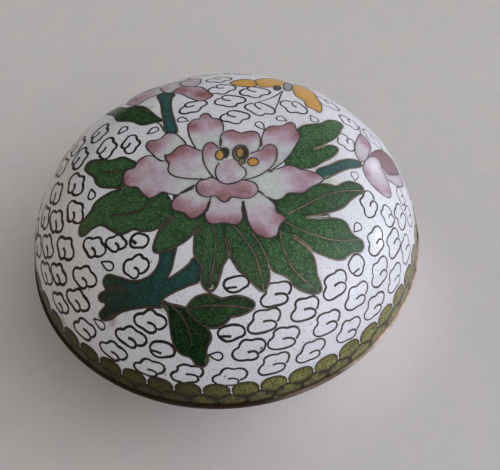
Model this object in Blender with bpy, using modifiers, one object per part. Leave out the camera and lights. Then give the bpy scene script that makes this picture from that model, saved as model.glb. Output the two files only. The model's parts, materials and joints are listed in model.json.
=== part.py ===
"""A round cloisonne enamel box: a domed lid that lifts off a shallow bowl on a foot ring.

Metres, +Z up. The origin is the centre of the foot ring's underside, where the box stands.
Every piece is turned about +Z, so each one is a profile in the (radius, height) plane.
"""

import math

import bpy

# Lid
RIM_RADIUS = 0.0381
SHOULDER_RADIUS = 0.0218
CROWN_RADIUS = 0.1140
SHOULDER_DROP = 0.0018
LID_RIM_HEIGHT = 0.0006

# Enamelled copper wall, the same in the lid and the bowl
COPPER_THICKNESS = 0.0009
ENAMEL_THICKNESS = 0.0005
COUNTER_ENAMEL_THICKNESS = 0.0004

# Brass rims
RIM_WIDTH = 0.0021
ENAMEL_INSET = 0.0004
BASE_RIM_HEIGHT = 0.0006
BASE_RIM_SETBACK = 0.0003
FLANGE_THICKNESS = 0.0009
FLANGE_HEIGHT = 0.0024
FLANGE_CLEARANCE = 0.0004
RIM_ROUNDING = 0.00015

# Bowl and foot
BOWL_DEPTH = 0.0122
BOWL_CORNER_RADIUS = 0.0200
BOWL_SETBACK = 0.0006
FOOT_HEIGHT = 0.0038
FOOT_RADIUS = 0.0222
FOOT_WIDTH = 0.0020
FOOT_ROUNDING = 0.0004

# Space between meshes that touch on the real box
JOINT_GAP = 0.0003

# Smoothness of the turned shapes
TURN_STEPS = 60
ARC_STEP = math.radians(9)
ROUNDING_SEGMENTS = 2
SHARP_ANGLE = math.radians(40)
AXIS_MERGE = 0.00001

WALL = ENAMEL_THICKNESS + COPPER_THICKNESS + COUNTER_ENAMEL_THICKNESS

# Heights, from the floor up
BOWL_MOUTH = FOOT_HEIGHT + BOWL_DEPTH
BASE_RIM_BOTTOM = BOWL_MOUTH + JOINT_GAP
BASE_RIM_TOP = BASE_RIM_BOTTOM + BASE_RIM_HEIGHT
LID_RIM_BOTTOM = BASE_RIM_TOP + JOINT_GAP
LID_RIM_TOP = LID_RIM_BOTTOM + LID_RIM_HEIGHT
LID_EDGE = LID_RIM_TOP + JOINT_GAP
SHOULDER_HEIGHT = LID_EDGE - SHOULDER_DROP
FLANGE_TOP = BASE_RIM_TOP + FLANGE_HEIGHT

# Radii
LID_RIM_INNER = RIM_RADIUS - RIM_WIDTH
FLANGE_OUTER = LID_RIM_INNER - FLANGE_CLEARANCE
FLANGE_INNER = FLANGE_OUTER - FLANGE_THICKNESS
BASE_RIM_RADIUS = RIM_RADIUS - BASE_RIM_SETBACK
BOWL_RADIUS = BASE_RIM_RADIUS - BOWL_SETBACK
FOOT_INNER = FOOT_RADIUS - FOOT_WIDTH


def arc(centre, radius, start, end):
    """Points on an arc of the (radius, height) plane, from one angle to another above the radius axis."""
    steps = max(2, math.ceil(abs(end - start) / ARC_STEP))
    angles = [start + (end - start) * i / steps for i in range(steps + 1)]
    return [(centre[0] + radius * math.cos(a), centre[1] + radius * math.sin(a)) for a in angles]


def dome_side(depth):
    """The lid's surface at a depth below the enamel, from the top down to the lid's edge.

    A flat crown arc, centred on the axis, meets a round shoulder arc. The shoulder still leans in a
    little where the rim cuts it off: it would be upright SHOULDER_DROP lower.
    """
    shoulder_centre = (RIM_RADIUS - ENAMEL_INSET - SHOULDER_RADIUS, SHOULDER_HEIGHT)
    centre_distance = CROWN_RADIUS - SHOULDER_RADIUS
    lean = math.asin(shoulder_centre[0] / centre_distance)
    crown_centre = (0.0, SHOULDER_HEIGHT - centre_distance * math.cos(lean))
    meeting = math.pi / 2 - lean
    edge = math.asin(SHOULDER_DROP / (SHOULDER_RADIUS - depth))
    crown = arc(crown_centre, CROWN_RADIUS - depth, math.pi / 2, meeting)
    shoulder = arc(shoulder_centre, SHOULDER_RADIUS - depth, meeting, edge)
    crown[0] = (0.0, crown[0][1])
    return crown[:-1] + shoulder


def bowl_corner_centre():
    """Centre of the bowl's corner arc, which runs from the flat bottom out to the mouth."""
    height = FOOT_HEIGHT + BOWL_CORNER_RADIUS
    reach = math.sqrt(BOWL_CORNER_RADIUS**2 - (height - BOWL_MOUTH) ** 2)
    return (BOWL_RADIUS - reach, height)


def bowl_side(depth):
    """The bowl's surface at a depth above its outside, from the mouth down to the axis."""
    centre = bowl_corner_centre()
    radius = BOWL_CORNER_RADIUS - depth
    mouth = -math.asin((centre[1] - BOWL_MOUTH) / radius)
    corner = arc(centre, radius, mouth, -math.pi / 2)
    return corner + [(0.0, FOOT_HEIGHT + depth)]


def bowl_underside(radius):
    """Height of the bowl's outside at a radius."""
    centre = bowl_corner_centre()
    out = max(0.0, radius - centre[0])
    return centre[1] - math.sqrt(BOWL_CORNER_RADIUS**2 - out**2)


def material(name, colour, roughness, metallic):
    made = bpy.data.materials.new(name)
    made.use_nodes = True
    shader = made.node_tree.nodes["Principled BSDF"]
    shader.inputs["Base Color"].default_value = (*colour, 1.0)
    shader.inputs["Roughness"].default_value = roughness
    shader.inputs["Metallic"].default_value = metallic
    return made


def turned(name, profile, closed, finish):
    """A solid turned about +Z. The profile runs down its outer side and back up its inner side."""
    edges = [(i, i + 1) for i in range(len(profile) - 1)]
    if closed:
        edges.append((len(profile) - 1, 0))
    mesh = bpy.data.meshes.new(name)
    mesh.from_pydata([(radius, 0.0, height) for radius, height in profile], edges, [])
    mesh.materials.append(finish)
    piece = bpy.data.objects.new(name, mesh)
    bpy.data.collections[COLLECTION].objects.link(piece)
    screw = piece.modifiers.new("Turn", "SCREW")
    screw.axis = "Z"
    screw.angle = 2 * math.pi
    screw.steps = TURN_STEPS
    screw.render_steps = TURN_STEPS
    screw.use_merge_vertices = True
    screw.merge_threshold = AXIS_MERGE
    screw.use_smooth_shade = True
    return piece


def round_edges(piece, width):
    """Rounds the turned corners of a ring."""
    bevel = piece.modifiers.new("Rounding", "BEVEL")
    bevel.width = width
    bevel.segments = ROUNDING_SEGMENTS
    bevel.limit_method = "ANGLE"
    bevel.angle_limit = SHARP_ANGLE


def make_lid(enamel):
    outside = dome_side(0.0)
    inside = dome_side(WALL)
    return turned("lid", outside + inside[::-1], False, enamel)


def make_lid_rim(brass):
    """The ring under the lid's edge, which stands out from the enamel as a narrow ledge."""
    profile = [
        (RIM_RADIUS, LID_RIM_TOP),
        (RIM_RADIUS, LID_RIM_BOTTOM),
        (LID_RIM_INNER, LID_RIM_BOTTOM),
        (LID_RIM_INNER, LID_RIM_TOP),
    ]
    ring = turned("lid_rim", profile, True, brass)
    round_edges(ring, RIM_ROUNDING)
    return ring


def make_base(enamel):
    outside = bowl_side(0.0)
    inside = bowl_side(WALL)
    return turned("base", inside[::-1] + outside, False, enamel)


def make_base_rim(brass):
    """The ring on the bowl's mouth, with the upright flange that the lid drops over."""
    profile = [
        (BASE_RIM_RADIUS, BASE_RIM_TOP),
        (BASE_RIM_RADIUS, BASE_RIM_BOTTOM),
        (FLANGE_INNER, BASE_RIM_BOTTOM),
        (FLANGE_INNER, FLANGE_TOP),
        (FLANGE_OUTER, FLANGE_TOP),
        (FLANGE_OUTER, BASE_RIM_TOP),
    ]
    ring = turned("base_rim", profile, True, brass)
    round_edges(ring, RIM_ROUNDING)
    return ring


def make_foot_ring(brass):
    """The ring that the box stands on, cut to the bowl's curve on top."""
    profile = [
        (FOOT_RADIUS, bowl_underside(FOOT_RADIUS) - JOINT_GAP),
        (FOOT_RADIUS, 0.0),
        (FOOT_INNER, 0.0),
        (FOOT_INNER, bowl_underside(FOOT_INNER) - JOINT_GAP),
    ]
    ring = turned("foot_ring", profile, True, brass)
    round_edges(ring, FOOT_ROUNDING)
    return ring


COLLECTION = "cloisonne_enamel_box"

for old in list(bpy.data.objects):
    bpy.data.objects.remove(old)
bpy.context.scene.collection.children.link(bpy.data.collections.new(COLLECTION))

white_enamel = material("white_enamel", (0.72, 0.71, 0.72), 0.25, 0.0)
rim_brass = material("rim_brass", (0.42, 0.28, 0.17), 0.35, 1.0)

make_lid(white_enamel)
make_lid_rim(rim_brass)
make_base(white_enamel)
make_base_rim(rim_brass)
make_foot_ring(rim_brass)
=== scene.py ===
# %% [markdown]
# # A round cloisonne enamel box
# A domed lid sits on a shallow bowl, both of copper sheet. A maker of cloisonne bends thin brass wire
# along a drawing, solders it down on edge, fills each closed cell with coloured glass powder, fires it
# and grinds glass and wire flush. This script follows the same order: the drawing is laid on the dome,
# the dome is cut into cells, each cell gets its enamel, and the wires go on last.

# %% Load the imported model
import json
import math
import random
from collections import namedtuple

import bpy
import numpy as np
from mathutils import Matrix, Vector, geometry, kdtree

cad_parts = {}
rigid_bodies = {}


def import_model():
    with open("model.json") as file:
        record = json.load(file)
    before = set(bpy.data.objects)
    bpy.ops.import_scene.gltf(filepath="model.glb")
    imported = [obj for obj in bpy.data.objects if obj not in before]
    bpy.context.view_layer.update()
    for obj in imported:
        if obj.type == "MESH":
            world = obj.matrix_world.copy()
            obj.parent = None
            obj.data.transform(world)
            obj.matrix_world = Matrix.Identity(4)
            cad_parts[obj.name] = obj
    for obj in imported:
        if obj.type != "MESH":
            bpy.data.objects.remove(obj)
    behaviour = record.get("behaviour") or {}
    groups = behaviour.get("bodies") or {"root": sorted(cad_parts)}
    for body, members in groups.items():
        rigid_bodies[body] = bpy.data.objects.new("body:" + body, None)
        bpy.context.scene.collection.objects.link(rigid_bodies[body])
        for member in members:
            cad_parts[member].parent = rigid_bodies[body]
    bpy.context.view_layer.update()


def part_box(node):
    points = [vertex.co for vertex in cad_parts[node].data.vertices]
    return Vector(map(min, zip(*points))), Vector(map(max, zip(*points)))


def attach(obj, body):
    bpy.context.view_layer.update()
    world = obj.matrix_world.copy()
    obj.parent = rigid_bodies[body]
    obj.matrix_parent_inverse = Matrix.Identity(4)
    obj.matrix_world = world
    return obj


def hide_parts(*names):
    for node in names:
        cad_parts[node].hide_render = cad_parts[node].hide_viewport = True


MM = 0.001
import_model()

# %% [markdown]
# ## The camera
# The photograph looks down on the lid from about 52 degrees. A dome has no straight edges to measure,
# so the camera was fitted to the outline of the rim and to the 48 scallops of its border. The camera
# comes first here, because the drawing of the ornament is carried along its rays onto the dome.

# %% Camera at the photograph's place
IMAGE_WIDTH = 500
IMAGE_HEIGHT = 470
FOCAL_PIXELS = 787.9
SENSOR_WIDTH = 36.0
CAMERA_REACH = 158.65 * MM
CAMERA_ELEVATION = math.radians(51.59)
CAMERA_ROLL = math.radians(-6.88)
AIM_RIGHT_PIXELS = -23.9
AIM_UP_PIXELS = -1.6
CLIP_START = 10 * MM


def in_scene(name, data):
    """An object that shows this mesh, lamp or camera."""
    made = bpy.data.objects.new(name, data)
    bpy.context.scene.collection.objects.link(made)
    return made


rim_centre = Vector((0, 0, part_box("base_rim")[0].z))
backward = Vector((0, -math.cos(CAMERA_ELEVATION), math.sin(CAMERA_ELEVATION)))
eye = rim_centre + CAMERA_REACH * backward
look, right = -backward, Vector((1, 0, 0))
up = right.cross(look)
pan = math.atan2(AIM_RIGHT_PIXELS, FOCAL_PIXELS)
tilt = math.atan2(AIM_UP_PIXELS * math.cos(pan), FOCAL_PIXELS)
look, right = look * math.cos(pan) - right * math.sin(pan), right * math.cos(pan) + look * math.sin(pan)
look, up = look * math.cos(tilt) + up * math.sin(tilt), up * math.cos(tilt) - look * math.sin(tilt)
right, up = (
    right * math.cos(CAMERA_ROLL) + up * math.sin(CAMERA_ROLL),
    up * math.cos(CAMERA_ROLL) - right * math.sin(CAMERA_ROLL),
)
camera_data = bpy.data.cameras.new("camera")
camera_data.sensor_width = SENSOR_WIDTH
camera_data.lens = FOCAL_PIXELS * SENSOR_WIDTH / IMAGE_WIDTH
camera_data.clip_start = CLIP_START
camera = in_scene("camera", camera_data)
camera.matrix_world = Matrix.Translation(eye) @ Matrix((right, up, -look)).transposed().to_4x4()
bpy.context.scene.camera = camera
print("camera at", [round(c, 4) for c in eye], "lens", round(camera_data.lens, 1))

# %% [markdown]
# ## The two turned walls
# The lid's outside is a flat crown arc that meets a round shoulder arc, and the bowl's is a flat
# bottom and one corner arc. A wall could be lathed and the ornament projected on it from above, but
# that smears the drawing on the steep shoulder. Here each wall is unrolled instead: the flat pattern
# is a disc whose radius is the distance along the surface from its middle, in millimetres. Every
# drawing is made on the pattern, and wrap() bends it back onto the wall.

# %% Profiles as functions of the distance along the surface
CROWN_RADIUS = 114.0
SHOULDER_RADIUS = 21.8
SHOULDER_DROP = 1.8
ENAMEL_INSET = 0.4
BOWL_CORNER_RADIUS = 20.0
WALL = 1.8
JOINT_GAP = 0.3
EDGE_OVERLAP = 0.05
AT_MIDDLE = 1e-9

RIM_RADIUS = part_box("lid_rim")[1].x / MM
LID_RIM_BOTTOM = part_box("lid_rim")[0].z / MM
LID_RIM_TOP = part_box("lid_rim")[1].z / MM
SHOULDER_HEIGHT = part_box("lid")[0].z / MM - SHOULDER_DROP
BOWL_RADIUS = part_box("base")[1].x / MM
BOWL_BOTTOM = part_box("base")[0].z / MM
BOWL_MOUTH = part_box("base")[1].z / MM

shoulder_centre = RIM_RADIUS - ENAMEL_INSET - SHOULDER_RADIUS
lean = math.asin(shoulder_centre / (CROWN_RADIUS - SHOULDER_RADIUS))
crown_centre = SHOULDER_HEIGHT - (CROWN_RADIUS - SHOULDER_RADIUS) * math.cos(lean)
crown_length = CROWN_RADIUS * lean
bowl_rise = BOWL_CORNER_RADIUS - (BOWL_MOUTH - BOWL_BOTTOM)
bowl_flat = BOWL_RADIUS - math.sqrt(BOWL_CORNER_RADIUS**2 - bowl_rise**2)


def lid_profile(s):
    """Radius, height and outward slope of the lid at a distance s from its top along the surface."""
    crown = s < crown_length
    bend = np.where(crown, CROWN_RADIUS, SHOULDER_RADIUS)
    turn = np.where(crown, s / CROWN_RADIUS, lean + (s - crown_length) / SHOULDER_RADIUS)
    radius = np.where(crown, 0.0, shoulder_centre) + bend * np.sin(turn)
    height = np.where(crown, crown_centre, SHOULDER_HEIGHT) + bend * np.cos(turn)
    return radius, height, np.sin(turn), np.cos(turn)


def bowl_profile(s):
    """The same for the bowl, from the middle of its underside."""
    turn = np.maximum(s - bowl_flat, 0.0) / BOWL_CORNER_RADIUS
    radius = np.minimum(s, bowl_flat) + BOWL_CORNER_RADIUS * np.sin(turn)
    height = BOWL_BOTTOM + BOWL_CORNER_RADIUS * (1.0 - np.cos(turn))
    return radius, height, np.sin(turn), -np.cos(turn)


def lid_distance(radius):
    """The distance along the lid from its top, at a radius."""
    on_crown = CROWN_RADIUS * np.arcsin(np.minimum(radius / CROWN_RADIUS, 1.0))
    sine = np.clip((radius - shoulder_centre) / SHOULDER_RADIUS, -1.0, 1.0)
    on_shoulder = crown_length + SHOULDER_RADIUS * (np.arcsin(sine) - lean)
    return np.where(radius < CROWN_RADIUS * math.sin(lean), on_crown, on_shoulder)


def bowl_distance(radius):
    """The distance along the bowl from its middle, at a radius."""
    sine = np.clip((radius - bowl_flat) / BOWL_CORNER_RADIUS, 0.0, 1.0)
    return np.minimum(radius, bowl_flat) + BOWL_CORNER_RADIUS * np.arcsin(sine)


def wrap(profile, flat, lift=0.0):
    """Bends points of the flat pattern (mm) onto a wall. Returns places in metres and outward normals."""
    flat = np.asarray(flat, float)
    s = np.hypot(flat[:, 0], flat[:, 1])
    way = flat / np.maximum(s, AT_MIDDLE)[:, None]
    radius, height, out, rise = profile(s)
    normals = np.column_stack((way * out[:, None], rise))
    places = np.column_stack((way * radius[:, None], height)) + lift * normals
    return places * MM, normals


def unwrap(distance, places):
    """Places on a wall, in metres, back to the flat pattern."""
    plan = np.asarray(places, float)[:, :2] / MM
    radius = np.hypot(plan[:, 0], plan[:, 1])
    return plan / np.maximum(radius, AT_MIDDLE)[:, None] * distance(radius)[:, None]


LID_REACH = crown_length + SHOULDER_RADIUS * (
    math.acos((LID_RIM_TOP - EDGE_OVERLAP - SHOULDER_HEIGHT) / SHOULDER_RADIUS) - lean
)
BOWL_REACH = bowl_flat + BOWL_CORNER_RADIUS * math.acos(
    (BOWL_BOTTOM + BOWL_CORNER_RADIUS - BOWL_MOUTH - JOINT_GAP - EDGE_OVERLAP) / BOWL_CORNER_RADIUS
)
print("lid pattern radius", round(LID_REACH, 2), "bowl pattern radius", round(BOWL_REACH, 2), "mm")

# %% [markdown]
# ## Drawing on the dome
# A point that was read from the photograph is carried along the camera's ray until it meets the dome,
# then unrolled. Points on the hidden back are given on the flat pattern itself. A smooth curve runs
# through the few points of each outline, and a point that is given twice is a sharp corner.

# %% From photograph to pattern
RAY_START = 90 * MM
RAY_END = 260 * MM
RAY_STEPS = 700
RAY_HALVINGS = 24
CURVE_GAP = 0.4
SAME_PLACE = 1e-6


def on_lid(pixels):
    """Points of the photograph, carried onto the dome and unrolled (mm)."""
    pixels = np.asarray(pixels, float)
    across = (pixels[:, 0] - IMAGE_WIDTH / 2) / FOCAL_PIXELS
    down = (pixels[:, 1] - IMAGE_HEIGHT / 2) / FOCAL_PIXELS
    rays = np.array(look) + across[:, None] * np.array(right) - down[:, None] * np.array(up)
    rays /= np.linalg.norm(rays, axis=1)[:, None]

    def depth_inside(reach):
        places = (np.array(eye) + reach[:, None] * rays) / MM
        radius = np.hypot(places[:, 0], places[:, 1])
        surface = lid_profile(lid_distance(np.minimum(radius, RIM_RADIUS - ENAMEL_INSET)))[1]
        return np.minimum(surface - places[:, 2], RIM_RADIUS - ENAMEL_INSET - radius)

    steps = np.linspace(RAY_START, RAY_END, RAY_STEPS)
    depths = np.array([depth_inside(np.full(len(pixels), step)) for step in steps])
    first = np.argmax(depths > 0, axis=0)
    missed = ~(depths > 0).any(axis=0)
    first[missed] = np.argmax(depths, axis=0)[missed]
    near, far = steps[first - 1], steps[first]
    for _ in range(RAY_HALVINGS):
        middle = (near + far) / 2
        hit = depth_inside(middle) > 0
        near, far = np.where(hit, near, middle), np.where(hit, middle, far)
    far[missed] = steps[first][missed]
    if missed.any():
        print("past the dome's edge:", pixels[missed].tolist())
    return unwrap(lid_distance, np.array(eye) + far[:, None] * rays)


def smooth(points, closed=True, gap=CURVE_GAP):
    """A smooth curve through points of the pattern. A point that is given twice stays a corner."""
    points = np.asarray(points, float)
    n = len(points)
    curve = []
    for i in range(n if closed else n - 1):
        before, start, end, after = (
            points[(i + j) % n] if closed else points[min(max(i + j, 0), n - 1)] for j in (-1, 0, 1, 2)
        )
        span = math.sqrt(np.linalg.norm(end - start))
        if span < SAME_PLACE:
            continue
        leave = arrive = end - start
        gap_before = math.sqrt(np.linalg.norm(start - before))
        if gap_before > SAME_PLACE:
            turn_in = (start - before) / gap_before - (end - before) / (gap_before + span)
            leave = end - start + span * turn_in
        gap_after = math.sqrt(np.linalg.norm(after - end))
        if gap_after > SAME_PLACE:
            turn_out = (after - end) / gap_after - (after - start) / (span + gap_after)
            arrive = end - start + span * turn_out
        steps = max(1, round(span**2 / gap))
        for t in np.arange(steps) / steps:
            curve.append(
                (2 * t**3 - 3 * t**2 + 1) * start
                + (t**3 - 2 * t**2 + t) * leave
                + (3 * t**2 - 2 * t**3) * end
                + (t**3 - t**2) * arrive
            )
    if not closed:
        curve.append(points[-1])
    return np.array(curve)


def inside(points, outline):
    """Which points of the pattern lie inside a closed outline."""
    x, y = points[:, :1], points[:, 1:]
    start, end = outline.T, np.roll(outline, -1, axis=0).T
    rise = np.where(start[1] == end[1], 1.0, end[1] - start[1])
    crosses = ((start[1] > y) != (end[1] > y)) & (x < start[0] + (y - start[1]) * (end[0] - start[0]) / rise)
    return crosses.sum(axis=1) % 2 == 1


def distance_to(points, line):
    """How far points of the pattern are from the nearest point of a line."""
    tree = kdtree.KDTree(len(line))
    for i, (x, y) in enumerate(line):
        tree.insert((x, y, 0.0), i)
    tree.balance()
    return np.array([tree.find((x, y, 0.0))[2] for x, y in points])


# %% [markdown]
# ## The cells
# Each cell is one closed loop of wire with one enamel in it. The loops are listed from the lowest to
# the uppermost, as a painter would lay them: a later cell hides what it covers, so neighbours may
# overlap in the list and still share one wire. Where a loop runs on under another enamel of the same
# colour, those points are given apart, because no wire follows them.

# %% Cells and their wires
Cell = namedtuple("Cell", "name enamel edge wire")
cells = []


def cell(name, enamel, drawn, unwired=(), behind=()):
    """Adds a cell from points of the photograph, then points without wire, then hidden points (mm)."""
    points = on_lid(drawn)
    if len(behind):
        points = np.vstack((points, behind))
    if len(unwired):
        wire = smooth(points, closed=False)
        cells.append(Cell(name, enamel, np.vstack((wire, on_lid(unwired))), wire))
    else:
        edge = smooth(points)
        cells.append(Cell(name, enamel, edge, np.vstack((edge, edge[:1]))))


# %% [markdown]
# ### Trunk, stems and leaves
# The stems are a deep teal and the leaves a dark glassy green. The leaf of five lobes under the flower
# is one green ground whose lobes overlap in turn, with a pair of wires between most of them.

# %% Stems and leaves
cell("leaf_ground", "leaf", [
    (172, 192), (176, 214), (197, 226), (205, 236), (228, 246), (244, 232), (262, 240), (294, 237),
    (306, 218), (309, 190), (280, 180), (220, 180)], unwired=[(190, 180)])
cell("stem_upper", "teal", [
    (158, 95), (161, 104), (162, 113), (164, 124), (167, 136), (172, 138), (177, 132), (175, 122),
    (172, 112), (171, 103), (172, 98), (175, 95), (167, 92)])
cell("stem_right", "teal", [
    (316, 170), (329, 165), (341, 160), (352, 159), (361, 162), (362, 166), (356, 168), (348, 169),
    (340, 172), (332, 176), (324, 179), (316, 178)])
cell("trunk", "teal_dark", [
    (108, 275), (121, 278), (132, 281), (142, 280), (151, 275), (157, 267), (160, 258), (160, 248),
    (176, 242), (174, 257), (171, 270), (167, 279), (179, 272), (188, 265), (195, 257), (206, 262),
    (201, 280), (188, 286), (174, 292), (165, 297), (162, 301), (163, 307), (150, 307), (131, 309),
    (119, 313), (111, 319), (103, 320), (99, 315), (106, 305), (104, 302), (99, 300), (99, 295), (106, 290),
    (103, 283), (105, 277)])
# This leaf takes a darker copy of the green, which is painted shade.
cell("leaf_lower", "leaf_deep", [
    (162, 301), (170, 304), (185, 308), (196, 318), (205, 326), (210, 332), (211, 339), (207, 347),
    (206, 353), (208, 360), (204, 367), (197, 366), (191, 358), (181, 354), (175, 347), (172, 338),
    (170, 326), (168, 313), (164, 306)])
cell("leaf_lower_right", "leaf_dark", [
    (186, 309), (189, 304), (194, 298), (201, 295), (210, 294), (217, 297), (222, 299), (230, 297),
    (240, 296), (250, 299), (255, 303), (254, 308), (247, 313), (238, 316), (231, 317), (225, 324),
    (217, 328), (206, 327), (198, 322), (192, 316)])
cell("leaf_left_small", "leaf", [
    (137, 164), (131, 160), (122, 157), (113, 160), (104, 160), (96, 160), (89, 162), (85, 168), (88, 173),
    (94, 177), (96, 183), (101, 187), (115, 188), (124, 188), (132, 178)])
cell("leaf_left", "leaf", [
    (122, 189), (111, 192), (101, 198), (95, 203), (91, 211), (86, 217), (81, 223), (79, 231), (80, 236),
    (84, 236), (92, 229), (100, 225), (104, 226), (111, 230), (119, 234), (126, 233), (134, 229),
    (142, 231), (150, 231), (158, 228), (165, 222), (173, 216)], unwired=[(176, 206), (165, 190),
    (140, 180)])
cell("leaf_left_low", "leaf", [
    (161, 226), (157, 235), (154, 243), (153, 250), (156, 253), (165, 251), (175, 247), (184, 242),
    (191, 236), (197, 228), (201, 224)], unwired=[(200, 200), (172, 205), (172, 216)])
cell("lobe_first", "leaf", [
    (195, 232), (194, 243), (194, 254), (198, 261), (202, 266), (200, 275), (202, 284), (206, 290),
    (211, 292), (216, 287), (220, 276), (223, 265), (229, 255), (227, 246), (225, 239)],
    unwired=[(220, 218), (200, 222)])
cell("lobe_second", "leaf", [
    (225, 239), (228, 248), (230, 256), (234, 263), (239, 271), (247, 277), (252, 283), (258, 289),
    (264, 292), (268, 286), (270, 276), (268, 265), (264, 252), (256, 238), (245, 223)],
    unwired=[(238, 214), (226, 216)])
# The lobes on the right take a lighter copy of the green, which is painted light.
cell("lobe_third", "leaf_bright", [
    (245, 223), (256, 238), (264, 252), (269, 264), (273, 271), (282, 275), (288, 278), (293, 285),
    (300, 290), (308, 293), (317, 294), (322, 290), (320, 282), (317, 274), (316, 264), (313, 255),
    (304, 244), (294, 237)], unwired=[(284, 215), (262, 205)])
cell("lobe_fourth", "leaf_bright", [
    (294, 237), (304, 244), (313, 251), (322, 255), (333, 259), (342, 260), (348, 256), (353, 253),
    (361, 252), (364, 246), (362, 240), (355, 236), (350, 230), (347, 223), (340, 219), (330, 218),
    (319, 219), (307, 218)], unwired=[(290, 208), (280, 222)])
cell("lobe_fifth", "leaf", [
    (307, 217), (322, 214), (335, 211), (344, 207), (352, 199), (358, 195), (364, 192), (363, 187),
    (357, 183), (349, 181), (342, 183), (336, 186), (328, 184), (319, 184), (309, 189)],
    unwired=[(290, 188), (288, 208)])
# These right-hand leaves take the lighter copy too: painted light.
cell("leaf_right_upper", "leaf_bright", [
    (297, 129), (304, 125), (312, 124), (321, 123), (328, 120), (337, 121), (343, 125), (341, 130),
    (338, 136), (333, 140), (325, 144), (313, 150)], unwired=[(296, 158), (288, 140)])
cell("leaf_right_lower", "leaf_bright", [
    (313, 150), (324, 146), (332, 145), (338, 148), (337, 153), (331, 158), (323, 162), (315, 167),
    (305, 169)], unwired=[(285, 176), (284, 150), (300, 145)])
cell("leaf_top_left", "leaf_dark", [
    (107, 114), (112, 111), (118, 108), (126, 108), (136, 106), (144, 107), (150, 111), (156, 116),
    (163, 121), (157, 122), (149, 124), (141, 125), (134, 122), (128, 121), (118, 121), (114, 116)])

# %% [markdown]
# ### The peony
# The petals are opaque pink that pales to a greenish white at the heart. The lower petals are listed
# first and the curled front ones last. The flower ground closes any sliver between two petals.

# %% Peony petals and stamens
cell("flower_ground", "petal", [
    (168, 155), (205, 146), (240, 140), (266, 148), (266, 180), (250, 200), (205, 205)],
    unwired=[(180, 190)])
cell("petal_far_left", "petal", [
    (164, 135), (170, 133), (176, 134), (180, 137), (186, 145), (177, 149), (172, 153), (165, 155),
    (162, 160), (155, 156), (149, 151), (146, 146), (149, 141), (157, 140), (162, 138)])
cell("petal_top_left", "petal", [
    (188, 125), (190, 122), (195, 119), (199, 119), (201, 115), (205, 113), (209, 114), (212, 118),
    (219, 119), (223, 124), (223, 133), (220, 145), (219, 150), (214, 148), (206, 151), (199, 151),
    (192, 142), (188, 131)])
cell("petal_right_high", "petal", [
    (261, 148), (262, 137), (265, 130), (271, 126), (279, 126), (284, 125), (289, 122), (294, 123),
    (296, 129), (300, 136), (296, 145), (288, 157), (278, 166), (266, 171)])
cell("petal_top", "petal", [
    (222, 134), (226, 131), (233, 130), (240, 133), (246, 132), (252, 131), (258, 133), (260, 139),
    (259, 148), (252, 156), (240, 160), (226, 156), (220, 146)])
cell("petal_left_large", "petal", [
    (136, 165), (139, 160), (146, 156), (153, 156), (162, 161), (168, 158), (185, 165), (207, 174),
    (204, 180), (198, 183), (195, 187), (189, 190), (178, 195), (170, 194), (162, 192), (156, 196),
    (149, 198), (143, 194), (137, 187), (130, 187), (124, 184), (123, 177), (127, 170), (134, 168)])
cell("petal_left_inner", "petal", [
    (165, 155), (168, 155), (173, 152), (178, 147), (184, 145), (190, 146), (196, 149), (203, 152),
    (207, 163), (211, 175), (207, 178), (195, 179), (182, 178), (172, 175), (168, 170), (169, 164),
    (166, 160)])
cell("petal_right_large", "petal", [
    (247, 178), (256, 176), (267, 171), (280, 168), (287, 165), (294, 166), (300, 169), (310, 171),
    (318, 174), (324, 179), (320, 183), (311, 187), (303, 193), (296, 193), (288, 193), (283, 198),
    (275, 200), (266, 196), (258, 192), (250, 186)])
cell("petal_lower_left", "petal", [
    (181, 193), (174, 199), (171, 205), (174, 210), (180, 212), (185, 213), (188, 217), (193, 219),
    (199, 216), (205, 211), (208, 204), (211, 199), (207, 192), (200, 184), (193, 186)])
cell("petal_lower_middle", "petal", [
    (209, 203), (206, 210), (205, 216), (208, 222), (213, 224), (220, 223), (227, 223), (234, 225),
    (240, 223), (243, 217), (242, 208), (244, 200), (238, 190), (215, 190)])
cell("petal_lower_right", "petal", [
    (244, 202), (246, 212), (248, 221), (254, 232), (260, 236), (270, 238), (277, 235), (279, 228),
    (282, 223), (286, 219), (283, 215), (277, 212), (275, 205), (268, 198), (262, 194), (252, 189)])
cell("petal_heart_left", "petal", [
    (203, 149), (206, 144), (211, 142), (216, 145), (219, 149), (223, 154), (219, 163), (216, 170),
    (219, 179), (217, 181), (213, 177), (207, 169), (203, 159)])
cell("petal_heart_right", "petal", [
    (248, 156), (254, 152), (261, 150), (265, 146), (270, 144), (275, 146), (277, 151), (276, 160),
    (271, 167), (262, 174), (252, 178), (243, 179), (244, 168)])
cell("petal_front_curl", "petal", [
    (199, 181), (207, 179), (211, 177), (218, 180), (229, 183), (241, 180), (250, 181), (256, 184),
    (258, 190), (255, 195), (250, 198), (240, 198), (231, 197), (228, 201), (223, 202), (219, 199),
    (215, 196), (206, 197), (199, 194), (196, 188)])
cell("petal_front", "petal", [
    (219, 163), (223, 161), (230, 159), (236, 160), (240, 165), (245, 169), (246, 175), (241, 180),
    (234, 183), (226, 184), (219, 181), (216, 176), (216, 168)])


def oval(name, enamel, centre, half_width, half_height, points=10):
    """A small oval cell of the photograph."""
    turns = [2 * math.pi * i / points for i in range(points)]
    x, y = centre
    cell(name, enamel, [(x + half_width * math.cos(a), y + half_height * math.sin(a)) for a in turns])


cell("stamen_shadow", "soot", [(220, 150), (224, 147.5), (228, 149), (228.5, 154), (226, 158), (222, 157)])
oval("stamen_left", "amber", (219.8, 155.2), 4.4, 5.2)
oval("stamen_ring", "brass_green", (241, 153.4), 8.6, 8.6)
oval("stamen_hollow", "soot", (242.3, 153), 5.6, 6.2)
oval("stamen_middle", "amber", (240.2, 152.6), 3.9, 5.0)
oval("stamen_low", "brass_green", (242, 161.5), 3.6, 3.0)
oval("stamen_right", "orange", (253, 161.8), 5.6, 4.2)

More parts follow.
